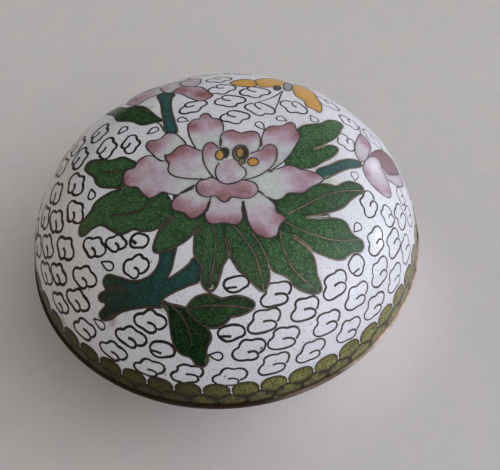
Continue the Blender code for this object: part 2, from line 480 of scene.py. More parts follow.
# %% [markdown]
# ### Bud, second flower and butterfly
# The bud hangs over the right shoulder. The second flower and the butterfly's left wing run over the
# back, where the photograph can't see: there the loops are closed in the plainest way that fits.

# %% Bud, second flower and butterfly
cell("bud_low", "petal_pale", [
    (384, 172), (392, 171), (399, 173), (402, 180), (403, 186), (397, 186), (391, 182), (385, 178)])
cell("bud_right", "petal_rose", [
    (369, 157), (373, 152), (379, 150), (385, 152), (391, 158), (396, 166), (399, 173), (394, 175),
    (388, 174), (382, 167), (377, 160)])
cell("bud_front", "petal_pale", [
    (366, 160), (370, 157), (375, 157), (379, 160), (382, 168), (386, 178), (390, 188), (391, 196),
    (388, 198), (379, 192), (371, 184), (366, 177), (363, 168)])
cell("bud_tip", "petal_pale", [
    (361, 134), (367, 139), (371, 147), (369, 154), (366, 160), (361, 162), (356, 155), (355, 146),
    (357, 139)])
cell("second_back", "petal", [
    (172, 86), (165, 88)], behind=[(-10, 30), (-8, 35), (-4, 36), (-2.5, 31), (-4.5, 27)])
cell("second_left_back", "petal", [(158, 88)], behind=[(-16, 29), (-11, 33), (-5, 31), (-4, 26), (-9, 23)])
cell("second_left", "petal", [
    (127, 104), (135, 97), (147, 91.5), (158, 88), (164, 92), (157, 95), (147, 99), (137, 105)])
cell("second_middle", "petal", [(161, 89), (170, 84), (180, 82), (182, 87), (176, 91), (168, 93)])
cell("second_top", "petal_pale", [
    (180, 84), (184, 81), (190, 79.5), (199, 78.5), (201, 81), (198, 85), (188, 87)])
cell("second_right", "petal", [
    (173, 92), (181, 87), (191, 86.5), (201, 87), (209, 92), (213, 95), (208, 99), (200, 101), (190, 98),
    (181, 94)])
cell("wing_left_inner", "orange", [
    (254, 83), (257, 79.5), (266, 78.3), (275, 79), (284, 81.5), (287, 84), (281, 86), (271, 87),
    (262, 87)])
cell("wing_left_outer", "orange", [
    (230, 83), (235, 80.5), (243, 79.3), (251, 79.6), (256, 82.5), (256, 86), (250, 87), (243, 86.4),
    (236, 85.6)])
cell("wing_right", "orange", [
    (293, 85), (300, 85.5), (308, 89), (315, 94), (317, 98), (321, 104), (322, 110), (319, 113), (313, 109),
    (307, 107), (304, 101), (296, 96), (293, 90)])
oval("butterfly_body", "grey", (287.8, 87), 4.6, 4.4)
oval("butterfly_head", "soot", (277.2, 88), 4.0, 2.6)
print(len(cells), "cells")

# %% [markdown]
# ### Veins and feelers
# Leaf veins and the butterfly's feelers are single open wires that lie inside a cell or on the ground.

# %% Open wires
veins = {
    "leaf_left_small": [(101, 171), (110, 172), (122, 171)],
    "leaf_left": [(152, 200), (145, 206), (139, 211), (131, 213), (111, 216)],
    "leaf_left_low": [(173, 216), (166, 221), (160, 228)],
    "lobe_first": [(213, 226), (216, 238), (215, 249), (214, 263), (211, 276), (210, 288)],
    "lobe_second": [(233, 226), (240, 233), (248, 244), (254, 253), (258, 264), (261, 276), (264, 290)],
    "lobe_third": [(280, 229), (282, 243), (286, 255), (292, 267), (302, 278), (314, 288)],
    "lobe_fourth": [(286, 222), (295, 227), (306, 232), (318, 236), (333, 240), (362, 240)],
    "lobe_fifth": [(288, 214), (300, 208), (315, 200), (329, 194), (344, 191), (363, 191)],
    "leaf_lower_right": [
        (187, 310), (194, 308), (204, 306), (216, 305.5), (228, 306), (240, 307), (252, 309)],
    "leaf_lower": [(170, 304), (180, 314), (186, 324), (190, 335), (192, 346)],
    "feeler_long": [(283, 90.5), (276, 95.5), (268, 99), (258, 102)],
    "feeler_short": [(282.5, 91), (280, 97), (278, 103), (274, 112)],
    "bud_stalk": [(359, 126), (361, 134)],
    "leaf_top_left": [(155, 122), (160, 124), (162, 127), (164, 131)],
}
print(len(veins), "open wires")

# %% [markdown]
# Where two loops meet at a notch the smith laid both wires side by side, or pinched them together.
# Each is a narrow hairpin round a short line, given with half the gap between its two wires.

# %% Double wires
PETAL_PIN_GAP = 0.13
leaf_hairpins = [
    ([(226.5, 238), (228, 247), (230, 258)], 0.26), ([(293, 236), (302, 242), (311, 250)], 0.26),
    ([(306, 217.5), (318, 217), (330, 216)], 0.26), ([(314, 149), (325, 146)], 0.22),
    ([(161, 228), (167, 222), (173, 217)], 0.26), ([(196, 234), (198, 229), (201, 225)], 0.22),
    ([(109, 288), (118, 288.5), (126, 291)], 0.2), ([(161, 301), (166, 304)], 0.2),
]
petal_hairpins = [
    [(243, 201), (243.5, 208), (244.5, 215)], [(209.5, 201), (208, 207), (206, 212)],
    [(181, 193), (188, 190), (194, 187)], [(261, 138), (261.5, 147)], [(221, 139), (221, 145)],
    [(258, 191), (264, 194)], [(269, 172), (273, 171)], [(359, 190), (364, 190)],
]


def hairpin(drawn, half_gap):
    """A closed narrow loop round a line of the photograph."""
    line = smooth(on_lid(drawn), closed=False)
    ahead = np.gradient(line, axis=0)
    across = np.column_stack((-ahead[:, 1], ahead[:, 0]))
    side = across / np.linalg.norm(ahead, axis=1)[:, None] * half_gap
    loop = np.vstack((line + side, line[::-1] - side[::-1]))
    return np.vstack((loop, loop[:1]))
print(len(leaf_hairpins) + len(petal_hairpins), "double wires")


# %% [markdown]
# ## The scalloped border
# Two rows of 48 green coins run round the lid above the rim, like scales: the upper coins lie on the
# lower ones, which are half a step on. A row follows a rule, so its outlines are computed.

# %% Border rule
COINS = 48
FIRST_GAP = math.radians(214.0)
COIN_STEP = 2 * math.pi / COINS
COIN_POINTS = 26
COIN_HALF_WIDTH = 2.3
COIN_FULLNESS = 0.78
UPPER_COIN = (3.9, 1.75)
LOWER_COIN = (1.25, 1.6)
COIN_CUT = 0.08
GROUND_FROM_EDGE = 3.3
GROUND_POINTS = 360


def pattern_radius(profile, s):
    """The wall's radius at a distance s along it."""
    return float(profile(np.array([s]))[0][0])


def coin_turns(row):
    """The angles at which the coins of the upper row (0) or the lower row (1) stand."""
    return [FIRST_GAP + COIN_STEP * (i + 0.5 + row / 2) for i in range(COINS)]


def coin_outlines(profile, reach, row):
    """The outlines of one row of coins on a pattern. A coin is (distance from the edge, half height)."""
    from_edge, half_height = (UPPER_COIN, LOWER_COIN)[row]
    s = reach - from_edge
    bend = (np.arange(COIN_POINTS) + 0.5) * 2 * math.pi / COIN_POINTS
    along = np.minimum(s - half_height * np.cos(bend), reach - COIN_CUT)
    width = COIN_HALF_WIDTH * np.sign(np.sin(bend)) * np.abs(np.sin(bend)) ** COIN_FULLNESS
    swings = [turn + width / pattern_radius(profile, s) for turn in coin_turns(row)]
    return [np.column_stack((along * np.cos(swing), along * np.sin(swing))) for swing in swings]


def border_cells(profile, reach):
    """The white ground and the two rows of coins, from the lowest layer up."""
    bend = np.arange(GROUND_POINTS) * 2 * math.pi / GROUND_POINTS
    ground = (reach - GROUND_FROM_EDGE) * np.column_stack((np.cos(bend), np.sin(bend)))
    made = [Cell("ground", "white", ground, None)]
    for row in (1, 0):
        made += [Cell("coin", "coin", outline, None) for outline in coin_outlines(profile, reach, row)]
    return made
print("two rows of", COINS, "coins,", round(math.degrees(COIN_STEP), 1), "degrees apart")


# %% [markdown]
# ## Cutting the dome into cells
# One mesh carries all the enamels of a wall. A grid of rings gives it its roundness, and a constrained
# triangulation cuts that grid exactly along every outline, so colours meet in a crisp line under the
# wire. A shader could paint the cells instead, but its edges would blur wherever the drawing is fine.

# %% Flat sheets, cut along their outlines
RIM_STEPS = 240
NEAR_OUTLINE = 0.35
SAME_VERTEX = 1e-5
ON_RIM = 1e-3
FULL_TURN = 2 * math.pi - 1e-6


def cut_sheet(reach, gap, outlines):
    """Vertices and triangles of a disc of the pattern, cut along closed outlines. The rim comes last."""
    points, links = [], []
    for outline in outlines:
        first, n = len(points), len(outline)
        points.extend(outline)
        links.extend((first + i, first + (i + 1) % n) for i in range(n))
    rings = []
    for k in range(round(reach / gap)):
        s = k * reach / round(reach / gap)
        count = max(1, round(2 * math.pi * s / gap))
        turns = (np.arange(count) + k % 2 / 2) * 2 * math.pi / count
        rings.extend(zip(s * np.cos(turns), s * np.sin(turns)))
    rings = np.array(rings)
    if points:
        rings = rings[distance_to(rings, points) > NEAR_OUTLINE]
    turns = np.arange(RIM_STEPS) * 2 * math.pi / RIM_STEPS
    rim = reach * np.column_stack((np.cos(turns), np.sin(turns)))
    everything = [Vector(p) for p in [*points, *rings, *rim]]
    vertices, _, triangles, _, _, _ = geometry.delaunay_2d_cdt(everything, links, [], 0, SAME_VERTEX)
    flat = np.array([tuple(v) for v in vertices])
    triangles = np.array(triangles)
    a, b, c = (flat[triangles[:, i]] for i in range(3))
    turned_over = (b - a)[:, 0] * (c - a)[:, 1] < (b - a)[:, 1] * (c - a)[:, 0]
    triangles[turned_over] = triangles[turned_over][:, ::-1]
    return flat, triangles


def rim_order(flat, reach):
    """The sheet's rim vertices, in order round it."""
    rim = np.where(np.hypot(flat[:, 0], flat[:, 1]) > reach - ON_RIM)[0]
    return rim[np.argsort(np.arctan2(flat[rim, 1], flat[rim, 0]) % FULL_TURN)]


# %% [markdown]
# ## One closed shell per wall
# The cut sheet is the outside, a plain sheet is the lining, and a strip joins them at the rim, so the
# wall is a closed body. Its vertices carry three attributes for later steps: the outward direction,
# how dark the glass is made, and how pink a petal is there. The glass is dark for dirt beside the
# wires, and along the rim and over the left of the border as painted shade, partly dirt. A ground
# flag says where clouds may lie. The normals are taken from the profile itself, so long thin
# triangles can't dent the gloss.

# %% What a wall carries
SEAM_WIDTH = 0.85
COIN_SEAM_WIDTH = 0.62
BORDER_FROM_EDGE = 5.8
# Across the box in mm, how far the rim band reaches and how dark the border is: painted shade on the left,
# partly dirt.
GRIME_AND_SHADE_SIDES = (-24, -12, -4, 8, 24)
RIM_GRIME_AND_SHADE = (5.6, 5.2, 4.4, 3.6, 1.6)
BORDER_GRIME_AND_SHADE = (0.895, 0.88, 0.68, 0.36, 0.0)
PetalTip = namedtuple("PetalTip", "place reach strength")


def add_attribute(mesh, name, kind, domain, values):
    """Stores a value or a vector for each point, face or corner."""
    field = "vector" if kind == "FLOAT_VECTOR" else "value"
    made = mesh.attributes.new(name, kind, domain)
    made.data.foreach_set(field, np.ascontiguousarray(values, np.float32).ravel())


def uppermost(centres, layers):
    """The number of the uppermost layer over each place, from 1. None is 0: the strip at the edge."""
    owner = np.zeros(len(centres), int)
    for k, layer in enumerate(layers):
        owner[inside(centres, layer.edge)] = k + 1
    return owner


def grime_and_shade_strength(flat, reach, seam_lines):
    """How dark the glass is made: dirt beside wires, and painted shade, partly dirt, along the rim and over
    the border, growing towards the left.
    """
    from_edge = reach - np.hypot(flat[:, 0], flat[:, 1])
    on_border = from_edge < BORDER_FROM_EDGE
    away = distance_to(flat, np.vstack(seam_lines))
    beside_wires = 1 - away / np.where(on_border, COIN_SEAM_WIDTH, SEAM_WIDTH)
    # Along the rim and over the border the glass is painted darker towards the left, away from the light:
    # painted shade, partly dirt.
    beside_rim = 1 - from_edge / np.interp(flat[:, 0], GRIME_AND_SHADE_SIDES, RIM_GRIME_AND_SHADE)
    on_coins = np.where(on_border, np.interp(flat[:, 0], GRIME_AND_SHADE_SIDES, BORDER_GRIME_AND_SHADE), 0)
    return np.clip(np.maximum.reduce((beside_wires, beside_rim, on_coins)), 0, 1)


def blush_strength(corners, owner, layers, tips):
    """How pink each corner of each outside triangle is."""
    blush = np.zeros(corners.shape[:2])
    for k, layer in enumerate(layers):
        mine = owner == k + 1
        for tip in tips.get(layer.name, ()):
            away = np.linalg.norm(corners[mine] - tip.place, axis=2) / tip.reach
            blush[mine] += tip.strength * np.exp(-(away**2))
    return np.clip(blush, 0, 1)


# %% Build a shell
OUTSIDE_GAP = 1.15
LINING_GAP = 2.6
OUTSIDE_MAP = (0.43, 0.43, 0.42)
LINING_MAP = (0.86, 0.86, 0.13)


def rim_strip(rim, inner_rim):
    """Triangles that join the outer rim to the inner one."""
    strip = []
    for i in range(RIM_STEPS):
        j = (i + 1) % RIM_STEPS
        strip += [(rim[i], inner_rim[i], inner_rim[j]), (rim[i], inner_rim[j], rim[j])]
    return np.array(strip)


def shell(name, profile, reach, layers, enamels, seam_lines, tips, underside=0.0):
    """A closed enamelled wall. Its layers come from the lowest up, and its underside is plain lining."""
    flat, outside = cut_sheet(reach, OUTSIDE_GAP, [layer.edge for layer in layers])
    inner_flat, inner = cut_sheet(reach, LINING_GAP, [])
    places, normals = wrap(profile, flat)
    inner_places, inner_normals = wrap(profile, inner_flat, -WALL)
    rim, inner_rim = rim_order(flat, reach), rim_order(inner_flat, reach) + len(flat)
    assert len(rim) == len(inner_rim) == RIM_STEPS
    triangles = np.vstack((outside, rim_strip(rim, inner_rim), inner[:, ::-1] + len(flat)))
    if profile is bowl_profile:
        triangles = triangles[:, ::-1]
    mesh = bpy.data.meshes.new(name)
    mesh.from_pydata(np.vstack((places, inner_places)).tolist(), [], triangles.tolist())
    outer = slice(len(outside))
    corners = flat[triangles[outer]]
    centres = corners.mean(axis=1)
    owner = uppermost(centres, layers)
    names = ["strip", *(layer.enamel for layer in layers)]
    slots = list(dict.fromkeys([*names, "lining"]))
    index = np.full(len(triangles), slots.index("lining"))
    index[outer] = np.array([slots.index(enamel) for enamel in names])[owner]
    index[outer][np.hypot(centres[:, 0], centres[:, 1]) < underside] = slots.index("lining")
    for slot in slots:
        mesh.materials.append(enamels[slot])
    mesh.polygons.foreach_set("material_index", index.astype(np.int32))
    mesh.polygons.foreach_set("use_smooth", np.ones(len(triangles), bool))
    all_normals = np.vstack((normals, -inner_normals))
    seam, blush = np.zeros(len(all_normals)), np.zeros((len(triangles), 3))
    seam[: len(flat)] = grime_and_shade_strength(flat, reach, seam_lines)
    blush[outer] = blush_strength(corners, owner, layers, tips)
    add_attribute(mesh, "ground", "FLOAT", "FACE", index == slots.index("white"))
    add_attribute(mesh, "outward", "FLOAT_VECTOR", "POINT", all_normals)
    add_attribute(mesh, "seam", "FLOAT", "POINT", seam)
    add_attribute(mesh, "blush", "FLOAT", "CORNER", blush)
    outside_chart = flat / reach * OUTSIDE_MAP[2] + OUTSIDE_MAP[:2]
    chart = np.vstack((outside_chart, inner_flat / reach * LINING_MAP[2] + LINING_MAP[:2]))
    mesh.uv_layers.new(name="OFBake").data.foreach_set("uv", chart[triangles].astype(np.float32).ravel())
    mesh.normals_split_custom_set_from_vertices(all_normals.tolist())
    print(name, len(triangles), "triangles,", len(layers), "cells")
    return in_scene(name, mesh)


# %% [markdown]
# ## Enamel
# Fired enamel is glass: smooth and glossy, but never quite even. It clouds from one firing to the
# next, holds flecks of colour, shows small burst bubbles as pits, and turns darker beside the wires,
# where dirt and metal creep in. The same dark mix also paints shade along the rim and over the left
# of the border. All enamels share these effects, so they are one node group.

# %% Helpers for node trees
def add(tree, kind, links=None, **settings):
    """Adds a node, sets its properties, and fills its inputs with values or with other sockets."""
    node = tree.nodes.new(kind)
    for name, value in settings.items():
        setattr(node, name, value)
    for name, value in (links or {}).items():
        if isinstance(value, bpy.types.NodeSocket):
            tree.links.new(value, node.inputs[name])
        else:
            node.inputs[name].default_value = value
    return node


def result(tree, kind, links=None, **settings):
    """Adds a node and returns its first output."""
    return add(tree, kind, links, **settings).outputs[0]


def new_group(name, kind, inputs, outputs):
    """An empty node group with named sockets. Returns it with the sockets inside that it takes and gives."""
    group = bpy.data.node_groups.new(name, kind)
    for label, socket, value in inputs:
        made = group.interface.new_socket(label, in_out="INPUT", socket_type="NodeSocket" + socket)
        if value is not None:
            made.default_value = value
    for label, socket in outputs:
        group.interface.new_socket(label, in_out="OUTPUT", socket_type="NodeSocket" + socket)
    return group, group.nodes.new("NodeGroupInput").outputs, group.nodes.new("NodeGroupOutput").inputs


def mix_colour(tree, factor, first, second):
    """Blends two colours. The numbers are the Mix node's sockets for colours."""
    return add(tree, "ShaderNodeMix", {0: factor, 6: first, 7: second}, data_type="RGBA").outputs[2]


def maths(tree, operation, *values, **settings):
    return result(tree, "ShaderNodeMath", dict(enumerate(values)), operation=operation, **settings)


def vector_maths(tree, operation, inputs):
    return add(tree, "ShaderNodeVectorMath", inputs, operation=operation)


def noise(tree, scale, detail, where=None, **inputs):
    """Soft patches, each about 1 / scale metres wide."""
    if where is not None:
        inputs["Vector"] = where
    return result(tree, "ShaderNodeTexNoise", {"Scale": scale, "Detail": detail, **inputs})


def rescale(tree, value, start, end, low=0.0, high=1.0, **settings):
    """Carries a value that runs from start to end over to low to high, and no further."""
    ends = {"Value": value, "From Min": start, "From Max": end, "To Min": low, "To Max": high}
    return result(tree, "ShaderNodeMapRange", ends, **settings)


def object_place(tree):
    return add(tree, "ShaderNodeTexCoord").outputs["Object"]


def across_box(tree, left, right, low=0.0, high=1.0):
    """A value that changes from one side of the box to the other, between two places in mm from its axis."""
    x = result(tree, "ShaderNodeSeparateXYZ", {0: object_place(tree)})
    return rescale(tree, x, left * MM, right * MM, low, high)


# %% Shared effect: specks
SPECK_CONTRAST = 2.2
specks, taken, given = new_group(
    "Specks",
    "ShaderNodeTree",
    [("Vector", "Vector", None), ("Scale", "Float", 1500.0), ("Share", "Float", 0.3), ("Size", "Float", 0.3)],
    [("Mask", "Float")],
)
grains = add(specks, "ShaderNodeTexVoronoi", {"Vector": taken["Vector"], "Scale": taken["Scale"]})
luck = add(specks, "ShaderNodeSeparateColor", {"Color": grains.outputs["Color"]}).outputs
dot = rescale(specks, grains.outputs["Distance"], taken["Size"], 0.0)
solid = maths(specks, "MULTIPLY", dot, SPECK_CONTRAST, use_clamp=True)
bright = maths(specks, "MULTIPLY_ADD", luck[1], 0.7, 0.3)
kept = maths(specks, "LESS_THAN", luck[0], taken["Share"])
specks.links.new(maths(specks, "MULTIPLY", maths(specks, "MULTIPLY", solid, bright), kept), given["Mask"])
print(specks.name, len(specks.nodes), "nodes")

# %% Shared effect: fired glass
FLECK_SIZE = 0.46
PIT_SCALE = 620.0
PIT_SIZE = 0.16
PIT_COLOUR = (0.03, 0.028, 0.03, 1)
fired, taken, given = new_group(
    "Fired glass",
    "ShaderNodeTree",
    [
        ("Colour", "Color", (0.5, 0.5, 0.5, 1)),
        ("Cloudy colour", "Color", (0.4, 0.4, 0.4, 1)),
        ("Fleck colour", "Color", (0.1, 0.1, 0.1, 1)),
        ("Seam colour", "Color", (0.05, 0.04, 0.03, 1)),
        ("Clouding", "Float", 1.0),
        ("Fleck share", "Float", 0.2),
        ("Fleck scale", "Float", 2400.0),
        ("Seam", "Float", 0.6),
        ("Pits", "Float", 0.05),
        ("Gloss loss", "Float", 0.14),
    ],
    [("Colour", "Color"), ("Roughness", "Float"), ("Normal", "Vector")],
)
where = object_place(fired)
haze = rescale(fired, noise(fired, 160.0, 5.0, where, Roughness=0.6), 0.35, 0.7)
curd = rescale(fired, noise(fired, 650.0, 2.0, where), 0.38, 0.62)
grit = rescale(fired, noise(fired, 2400.0, 2.0, where), 0.44, 0.56)
blotch = maths(fired, "MULTIPLY_ADD", haze, 0.30, maths(fired, "MULTIPLY", grit, 0.45))
blotch = maths(fired, "MULTIPLY_ADD", curd, 0.25, blotch)
clouded = maths(fired, "MULTIPLY", blotch, taken["Clouding"])
body = mix_colour(fired, clouded, taken["Colour"], taken["Cloudy colour"])
flecks = result(fired, "ShaderNodeGroup", {
    "Vector": where, "Scale": taken["Fleck scale"], "Share": taken["Fleck share"], "Size": FLECK_SIZE,
}, node_tree=specks)
body = mix_colour(fired, flecks, body, taken["Fleck colour"])
# Dark beside the wires for dirt, and near the rim and on the left of the border as painted shade.
seam = add(fired, "ShaderNodeAttribute", attribute_name="seam").outputs["Fac"]
grime_and_shade = maths(fired, "MULTIPLY", maths(fired, "POWER", seam, 2.2), taken["Seam"])
body = mix_colour(fired, grime_and_shade, body, taken["Seam colour"])

# %% Pits and gloss of fired glass
pits = result(fired, "ShaderNodeGroup", {
    "Vector": where, "Scale": PIT_SCALE, "Share": taken["Pits"], "Size": PIT_SIZE,
}, node_tree=specks)
fired.links.new(mix_colour(fired, maths(fired, "MULTIPLY", pits, 0.85), body, PIT_COLOUR), given["Colour"])
dull = maths(fired, "MULTIPLY_ADD", haze, 0.08, taken["Gloss loss"])
fired.links.new(maths(fired, "MULTIPLY_ADD", pits, 0.5, dull), given["Roughness"])
swell = maths(fired, "MULTIPLY", noise(fired, 260.0, 2.0, where), 0.5)
relief = maths(fired, "SUBTRACT", swell, maths(fired, "MULTIPLY", pits, 0.8))
bump = result(fired, "ShaderNodeBump", {"Height": relief, "Strength": 0.35, "Distance": 0.05 * MM})
fired.links.new(bump, given["Normal"])
print(fired.name, len(fired.nodes), "nodes")


# %% [markdown]
# Age has left a few marks on the lid: a burst bubble gone black, a pink stain under the trunk, and pale
# green tints where the leaf glass crept into the white. Each is a soft spot at its own place.

# %% Shared effect: marks
Mark = namedtuple("Mark", "pixel radius strength colour")
MARK_DRIFT = 1.2 * MM
MARK_CORE = 0.3
LEAF_TINT = (0.36, 0.47, 0.22)
marks_seen = [
    Mark((262, 349), 0.55, 0.85, (0.10, 0.09, 0.08)), Mark((112, 322), 1.3, 0.55, (0.30, 0.20, 0.22)),
    Mark((125, 247), 0.8, 0.35, (0.25, 0.22, 0.20)), Mark((150, 108), 1.1, 0.65, LEAF_TINT),
    Mark((163, 309), 0.9, 0.7, LEAF_TINT), Mark((330, 181), 1.3, 0.65, (0.42, 0.55, 0.34)),
    Mark((209, 360), 0.8, 0.6, LEAF_TINT), Mark((211, 287), 0.5, 0.8, (0.50, 0.58, 0.36)),
    Mark((63, 321), 1.3, 0.6, (0.26, 0.30, 0.12)), Mark((309, 408), 0.6, 0.7, (0.50, 0.58, 0.40)),
    Mark((232, 394), 0.3, 0.9, (0.60, 0.62, 0.58)), Mark((276, 396), 0.3, 0.7, (0.55, 0.60, 0.45)),
]
marked, taken, given = new_group(
    "Marks", "ShaderNodeTree", [("Colour", "Color", (0.5, 0.5, 0.5, 1))], [("Colour", "Color")])
where = object_place(marked)
drift = add(marked, "ShaderNodeTexNoise", {"Vector": where, "Scale": 900.0, "Detail": 2.0}).outputs["Color"]
strayed = vector_maths(marked, "MULTIPLY_ADD", {0: drift, 1: (MARK_DRIFT,) * 3, 2: where}).outputs[0]
painted = taken["Colour"]
for mark, place in zip(marks_seen, wrap(lid_profile, on_lid([mark.pixel for mark in marks_seen]))[0]):
    centre = tuple(place + MARK_DRIFT / 2)
    away = vector_maths(marked, "DISTANCE", {0: strayed, 1: centre}).outputs["Value"]
    radius = mark.radius * MM
    cover = rescale(marked, away, radius, MARK_CORE * radius, high=mark.strength)
    painted = mix_colour(marked, cover, painted, (*mark.colour, 1))
marked.links.new(painted, given["Colour"])
print(marked.name, len(marked.nodes), "nodes")


# %% How an enamel is made
GLASS_IOR = 1.52
GRIMY_SIDE = -20.0
RUBBED_SIDE = 25.0
COAT_ROUGHNESS = 0.2
# The dark colour for dirt beside the wires and for painted shade near the rim and border.
DIRT_AND_SHADE = (0.035, 0.026, 0.020)
enamels = {}


def new_material(name):
    """A material with a Principled shader. Returns it, its tree and the shader."""
    material = bpy.data.materials.new(name)
    material.use_nodes = True
    tree = material.node_tree
    tree.nodes.clear()
    shader = add(tree, "ShaderNodeBsdfPrincipled")
    add(tree, "ShaderNodeOutputMaterial", {0: shader.outputs[0]})
    return material, tree, shader


def enamel(name, colours, fleck, seam_and_shade_colour=DIRT_AND_SHADE, shine=0.5, rubbed_and_lit=0.0, **values):
    """An enamel: its own colours and values in the shared fired glass.

    The colours are a plain one and a cloudy one, or a function that makes both. Where hands rub the
    border, a coat brings back the gloss that dirt takes from its other side.
    """
    material, tree, shader = new_material("enamel_" + name)
    plain, cloudy = colours(tree) if callable(colours) else [(*colour, 1) for colour in colours]
    labelled = {label.replace("_", " "): value for label, value in values.items()}
    glass = add(tree, "ShaderNodeGroup", {
        "Colour": plain, "Cloudy colour": cloudy, "Fleck colour": (*fleck, 1),
        "Seam colour": (*seam_and_shade_colour, 1), **labelled,
    }, node_tree=fired).outputs
    aged = result(tree, "ShaderNodeGroup", {"Colour": glass["Colour"]}, node_tree=marked)
    tree.links.new(aged, shader.inputs["Base Color"])
    for label in ("Roughness", "Normal"):
        tree.links.new(glass[label], shader.inputs[label])
    shader.inputs["IOR"].default_value = GLASS_IOR
    shader.inputs["Specular IOR Level"].default_value = shine
    if rubbed_and_lit:
        tree.links.new(across_box(tree, GRIMY_SIDE, RUBBED_SIDE, high=rubbed_and_lit), shader.inputs["Coat Weight"])
        shader.inputs["Coat Roughness"].default_value = COAT_ROUGHNESS
    enamels[name] = material


# %% [markdown]
# Two enamels change colour inside one cell. A petal goes from a pale heart to a pink tip, by the blush
# that its corners carry, and the trunk is painted darker towards its root on the left, as painted shade.

# %% Colours that change inside a cell
# Where the trunk's painted shade is full, and where it ends, in mm from the axis.
TRUNK_SHADE_FULL = -22.0
TRUNK_SHADE_END = -13.0
PETAL_MOTTLE = 0.6
PETAL_STOPS = [
    (0.0, (0.60, 0.64, 0.61)), (0.18, (0.58, 0.51, 0.575)), (0.42, (0.49, 0.345, 0.412)),
    (0.7, (0.385, 0.21, 0.245)), (1.0, (0.285, 0.112, 0.125)),
]
PETAL_HAZES = [
    (0.0, (0.45, 0.48, 0.465)), (0.18, (0.44, 0.40, 0.43)), (0.42, (0.36, 0.25, 0.30)),
    (0.7, (0.28, 0.15, 0.18)), (1.0, (0.20, 0.080, 0.090)),
]
ROSE_STOPS = [(0.0, (0.26, 0.15, 0.18)), (1.0, (0.16, 0.065, 0.08))]
ROSE_HAZES = [(0.0, (0.20, 0.11, 0.14)), (1.0, (0.13, 0.055, 0.07))]
PALE_STOPS = [(0.0, (0.54, 0.45, 0.53)), (0.5, (0.42, 0.28, 0.34)), (1.0, (0.25, 0.10, 0.13))]


def colour_ramp(tree, factor, stops):
    """A colour that follows a factor through (position, colour) stops."""
    ramp = add(tree, "ShaderNodeValToRGB", {"Fac": factor})
    first, last = ramp.color_ramp.elements
    first.position, last.position = stops[0][0], stops[-1][0]
    first.color, last.color = (*stops[0][1], 1), (*stops[-1][1], 1)
    for position, colour in stops[1:-1]:
        ramp.color_ramp.elements.new(position).color = (*colour, 1)
    return ramp.outputs[0]


def blushing(stops, hazes):
    """Colours that follow the blush attribute from a petal's heart to its tip."""

    def build(tree):
        blush = add(tree, "ShaderNodeAttribute", attribute_name="blush").outputs["Fac"]
        patch = maths(tree, "SUBTRACT", noise(tree, 500.0, 3.0, object_place(tree)), 0.5)
        uneven = maths(tree, "MULTIPLY_ADD", patch, PETAL_MOTTLE, blush)
        return [colour_ramp(tree, uneven, colours) for colours in (stops, hazes)]

    return build


def shaded_towards_root(bright, hazy, dark):
    """Two colours with painted shade that makes them dark towards the trunk's root, on the left."""

    def build(tree):
        painted_light = across_box(tree, TRUNK_SHADE_FULL, TRUNK_SHADE_END)
        return [mix_colour(tree, painted_light, (*dark, 1), (*colour, 1)) for colour in (bright, hazy)]

    return build


# %% Opaque enamels: white, petals and small parts
enamel(
    "white", ((0.76, 0.755, 0.81), (0.62, 0.61, 0.65)), (0.44, 0.43, 0.46), (0.26, 0.21, 0.18),
    Clouding=0.7, Fleck_share=0.24, Fleck_scale=2500.0, Seam=0.15, Pits=0.2, Gloss_loss=0.13)
enamel(
    "petal", blushing(PETAL_STOPS, PETAL_HAZES), (0.56, 0.50, 0.51), shine=0.45,
    Clouding=0.85, Fleck_share=0.04, Fleck_scale=2600.0, Seam=0.3, Pits=0.10, Gloss_loss=0.16)
enamel(
    "petal_rose", blushing(ROSE_STOPS, ROSE_HAZES), (0.30, 0.20, 0.23), shine=0.4,
    Clouding=0.7, Fleck_share=0.1, Fleck_scale=2600.0, Seam=0.3, Pits=0.06, Gloss_loss=0.16)
enamel(
    "petal_pale", blushing(PALE_STOPS, PETAL_HAZES), (0.56, 0.48, 0.54), shine=0.45,
    Clouding=0.6, Fleck_share=0.1, Fleck_scale=2500.0, Seam=0.3, Pits=0.06, Gloss_loss=0.15)
enamel("amber", ((0.62, 0.37, 0.09), (0.32, 0.18, 0.05)), (0.62, 0.45, 0.18), Clouding=0.8, Seam=0.4)
enamel(
    "orange", ((0.66, 0.345, 0.055), (0.46, 0.215, 0.040)), (0.72, 0.46, 0.14), shine=0.38,
    Clouding=0.7, Seam=0.35, Gloss_loss=0.15)
enamel(
    "soot", ((0.050, 0.036, 0.030), (0.014, 0.012, 0.010)), (0.10, 0.08, 0.05),
    Clouding=0.8, Fleck_share=0.1, Gloss_loss=0.2)
enamel(
    "brass_green", ((0.28, 0.24, 0.16), (0.13, 0.12, 0.085)), (0.34, 0.27, 0.14),
    Clouding=0.9, Fleck_share=0.25, Gloss_loss=0.2)
enamel("grey", ((0.33, 0.35, 0.36), (0.17, 0.18, 0.18)), (0.5, 0.5, 0.5), Clouding=0.8, Gloss_loss=0.18)

# %% Glassy enamels: leaves, stems, coins and lining
LEAF_FLECKS = 4200.0
STEM_FLECKS = 3400.0
BORDER_SHINE = 0.03
BORDER_COAT = 0.85
enamel(
    "leaf", ((0.034, 0.108, 0.034), (0.005, 0.022, 0.007)), (0.17, 0.26, 0.13), (0.006, 0.012, 0.006),
    shine=0.36, Fleck_share=0.58, Fleck_scale=LEAF_FLECKS, Seam=0.8)
# A lighter copy of the leaf green, for leaves on the right: painted light.
enamel(
    "leaf_bright", ((0.040, 0.138, 0.038), (0.006, 0.030, 0.009)), (0.23, 0.35, 0.18), (0.007, 0.015, 0.007),
    shine=0.30, Fleck_share=0.58, Fleck_scale=LEAF_FLECKS, Seam=0.8)
enamel(
    "leaf_dark", ((0.022, 0.078, 0.022), (0.003, 0.014, 0.005)), (0.12, 0.19, 0.09), (0.003, 0.006, 0.004),
    shine=0.2, Fleck_share=0.5, Fleck_scale=LEAF_FLECKS, Seam=0.8)
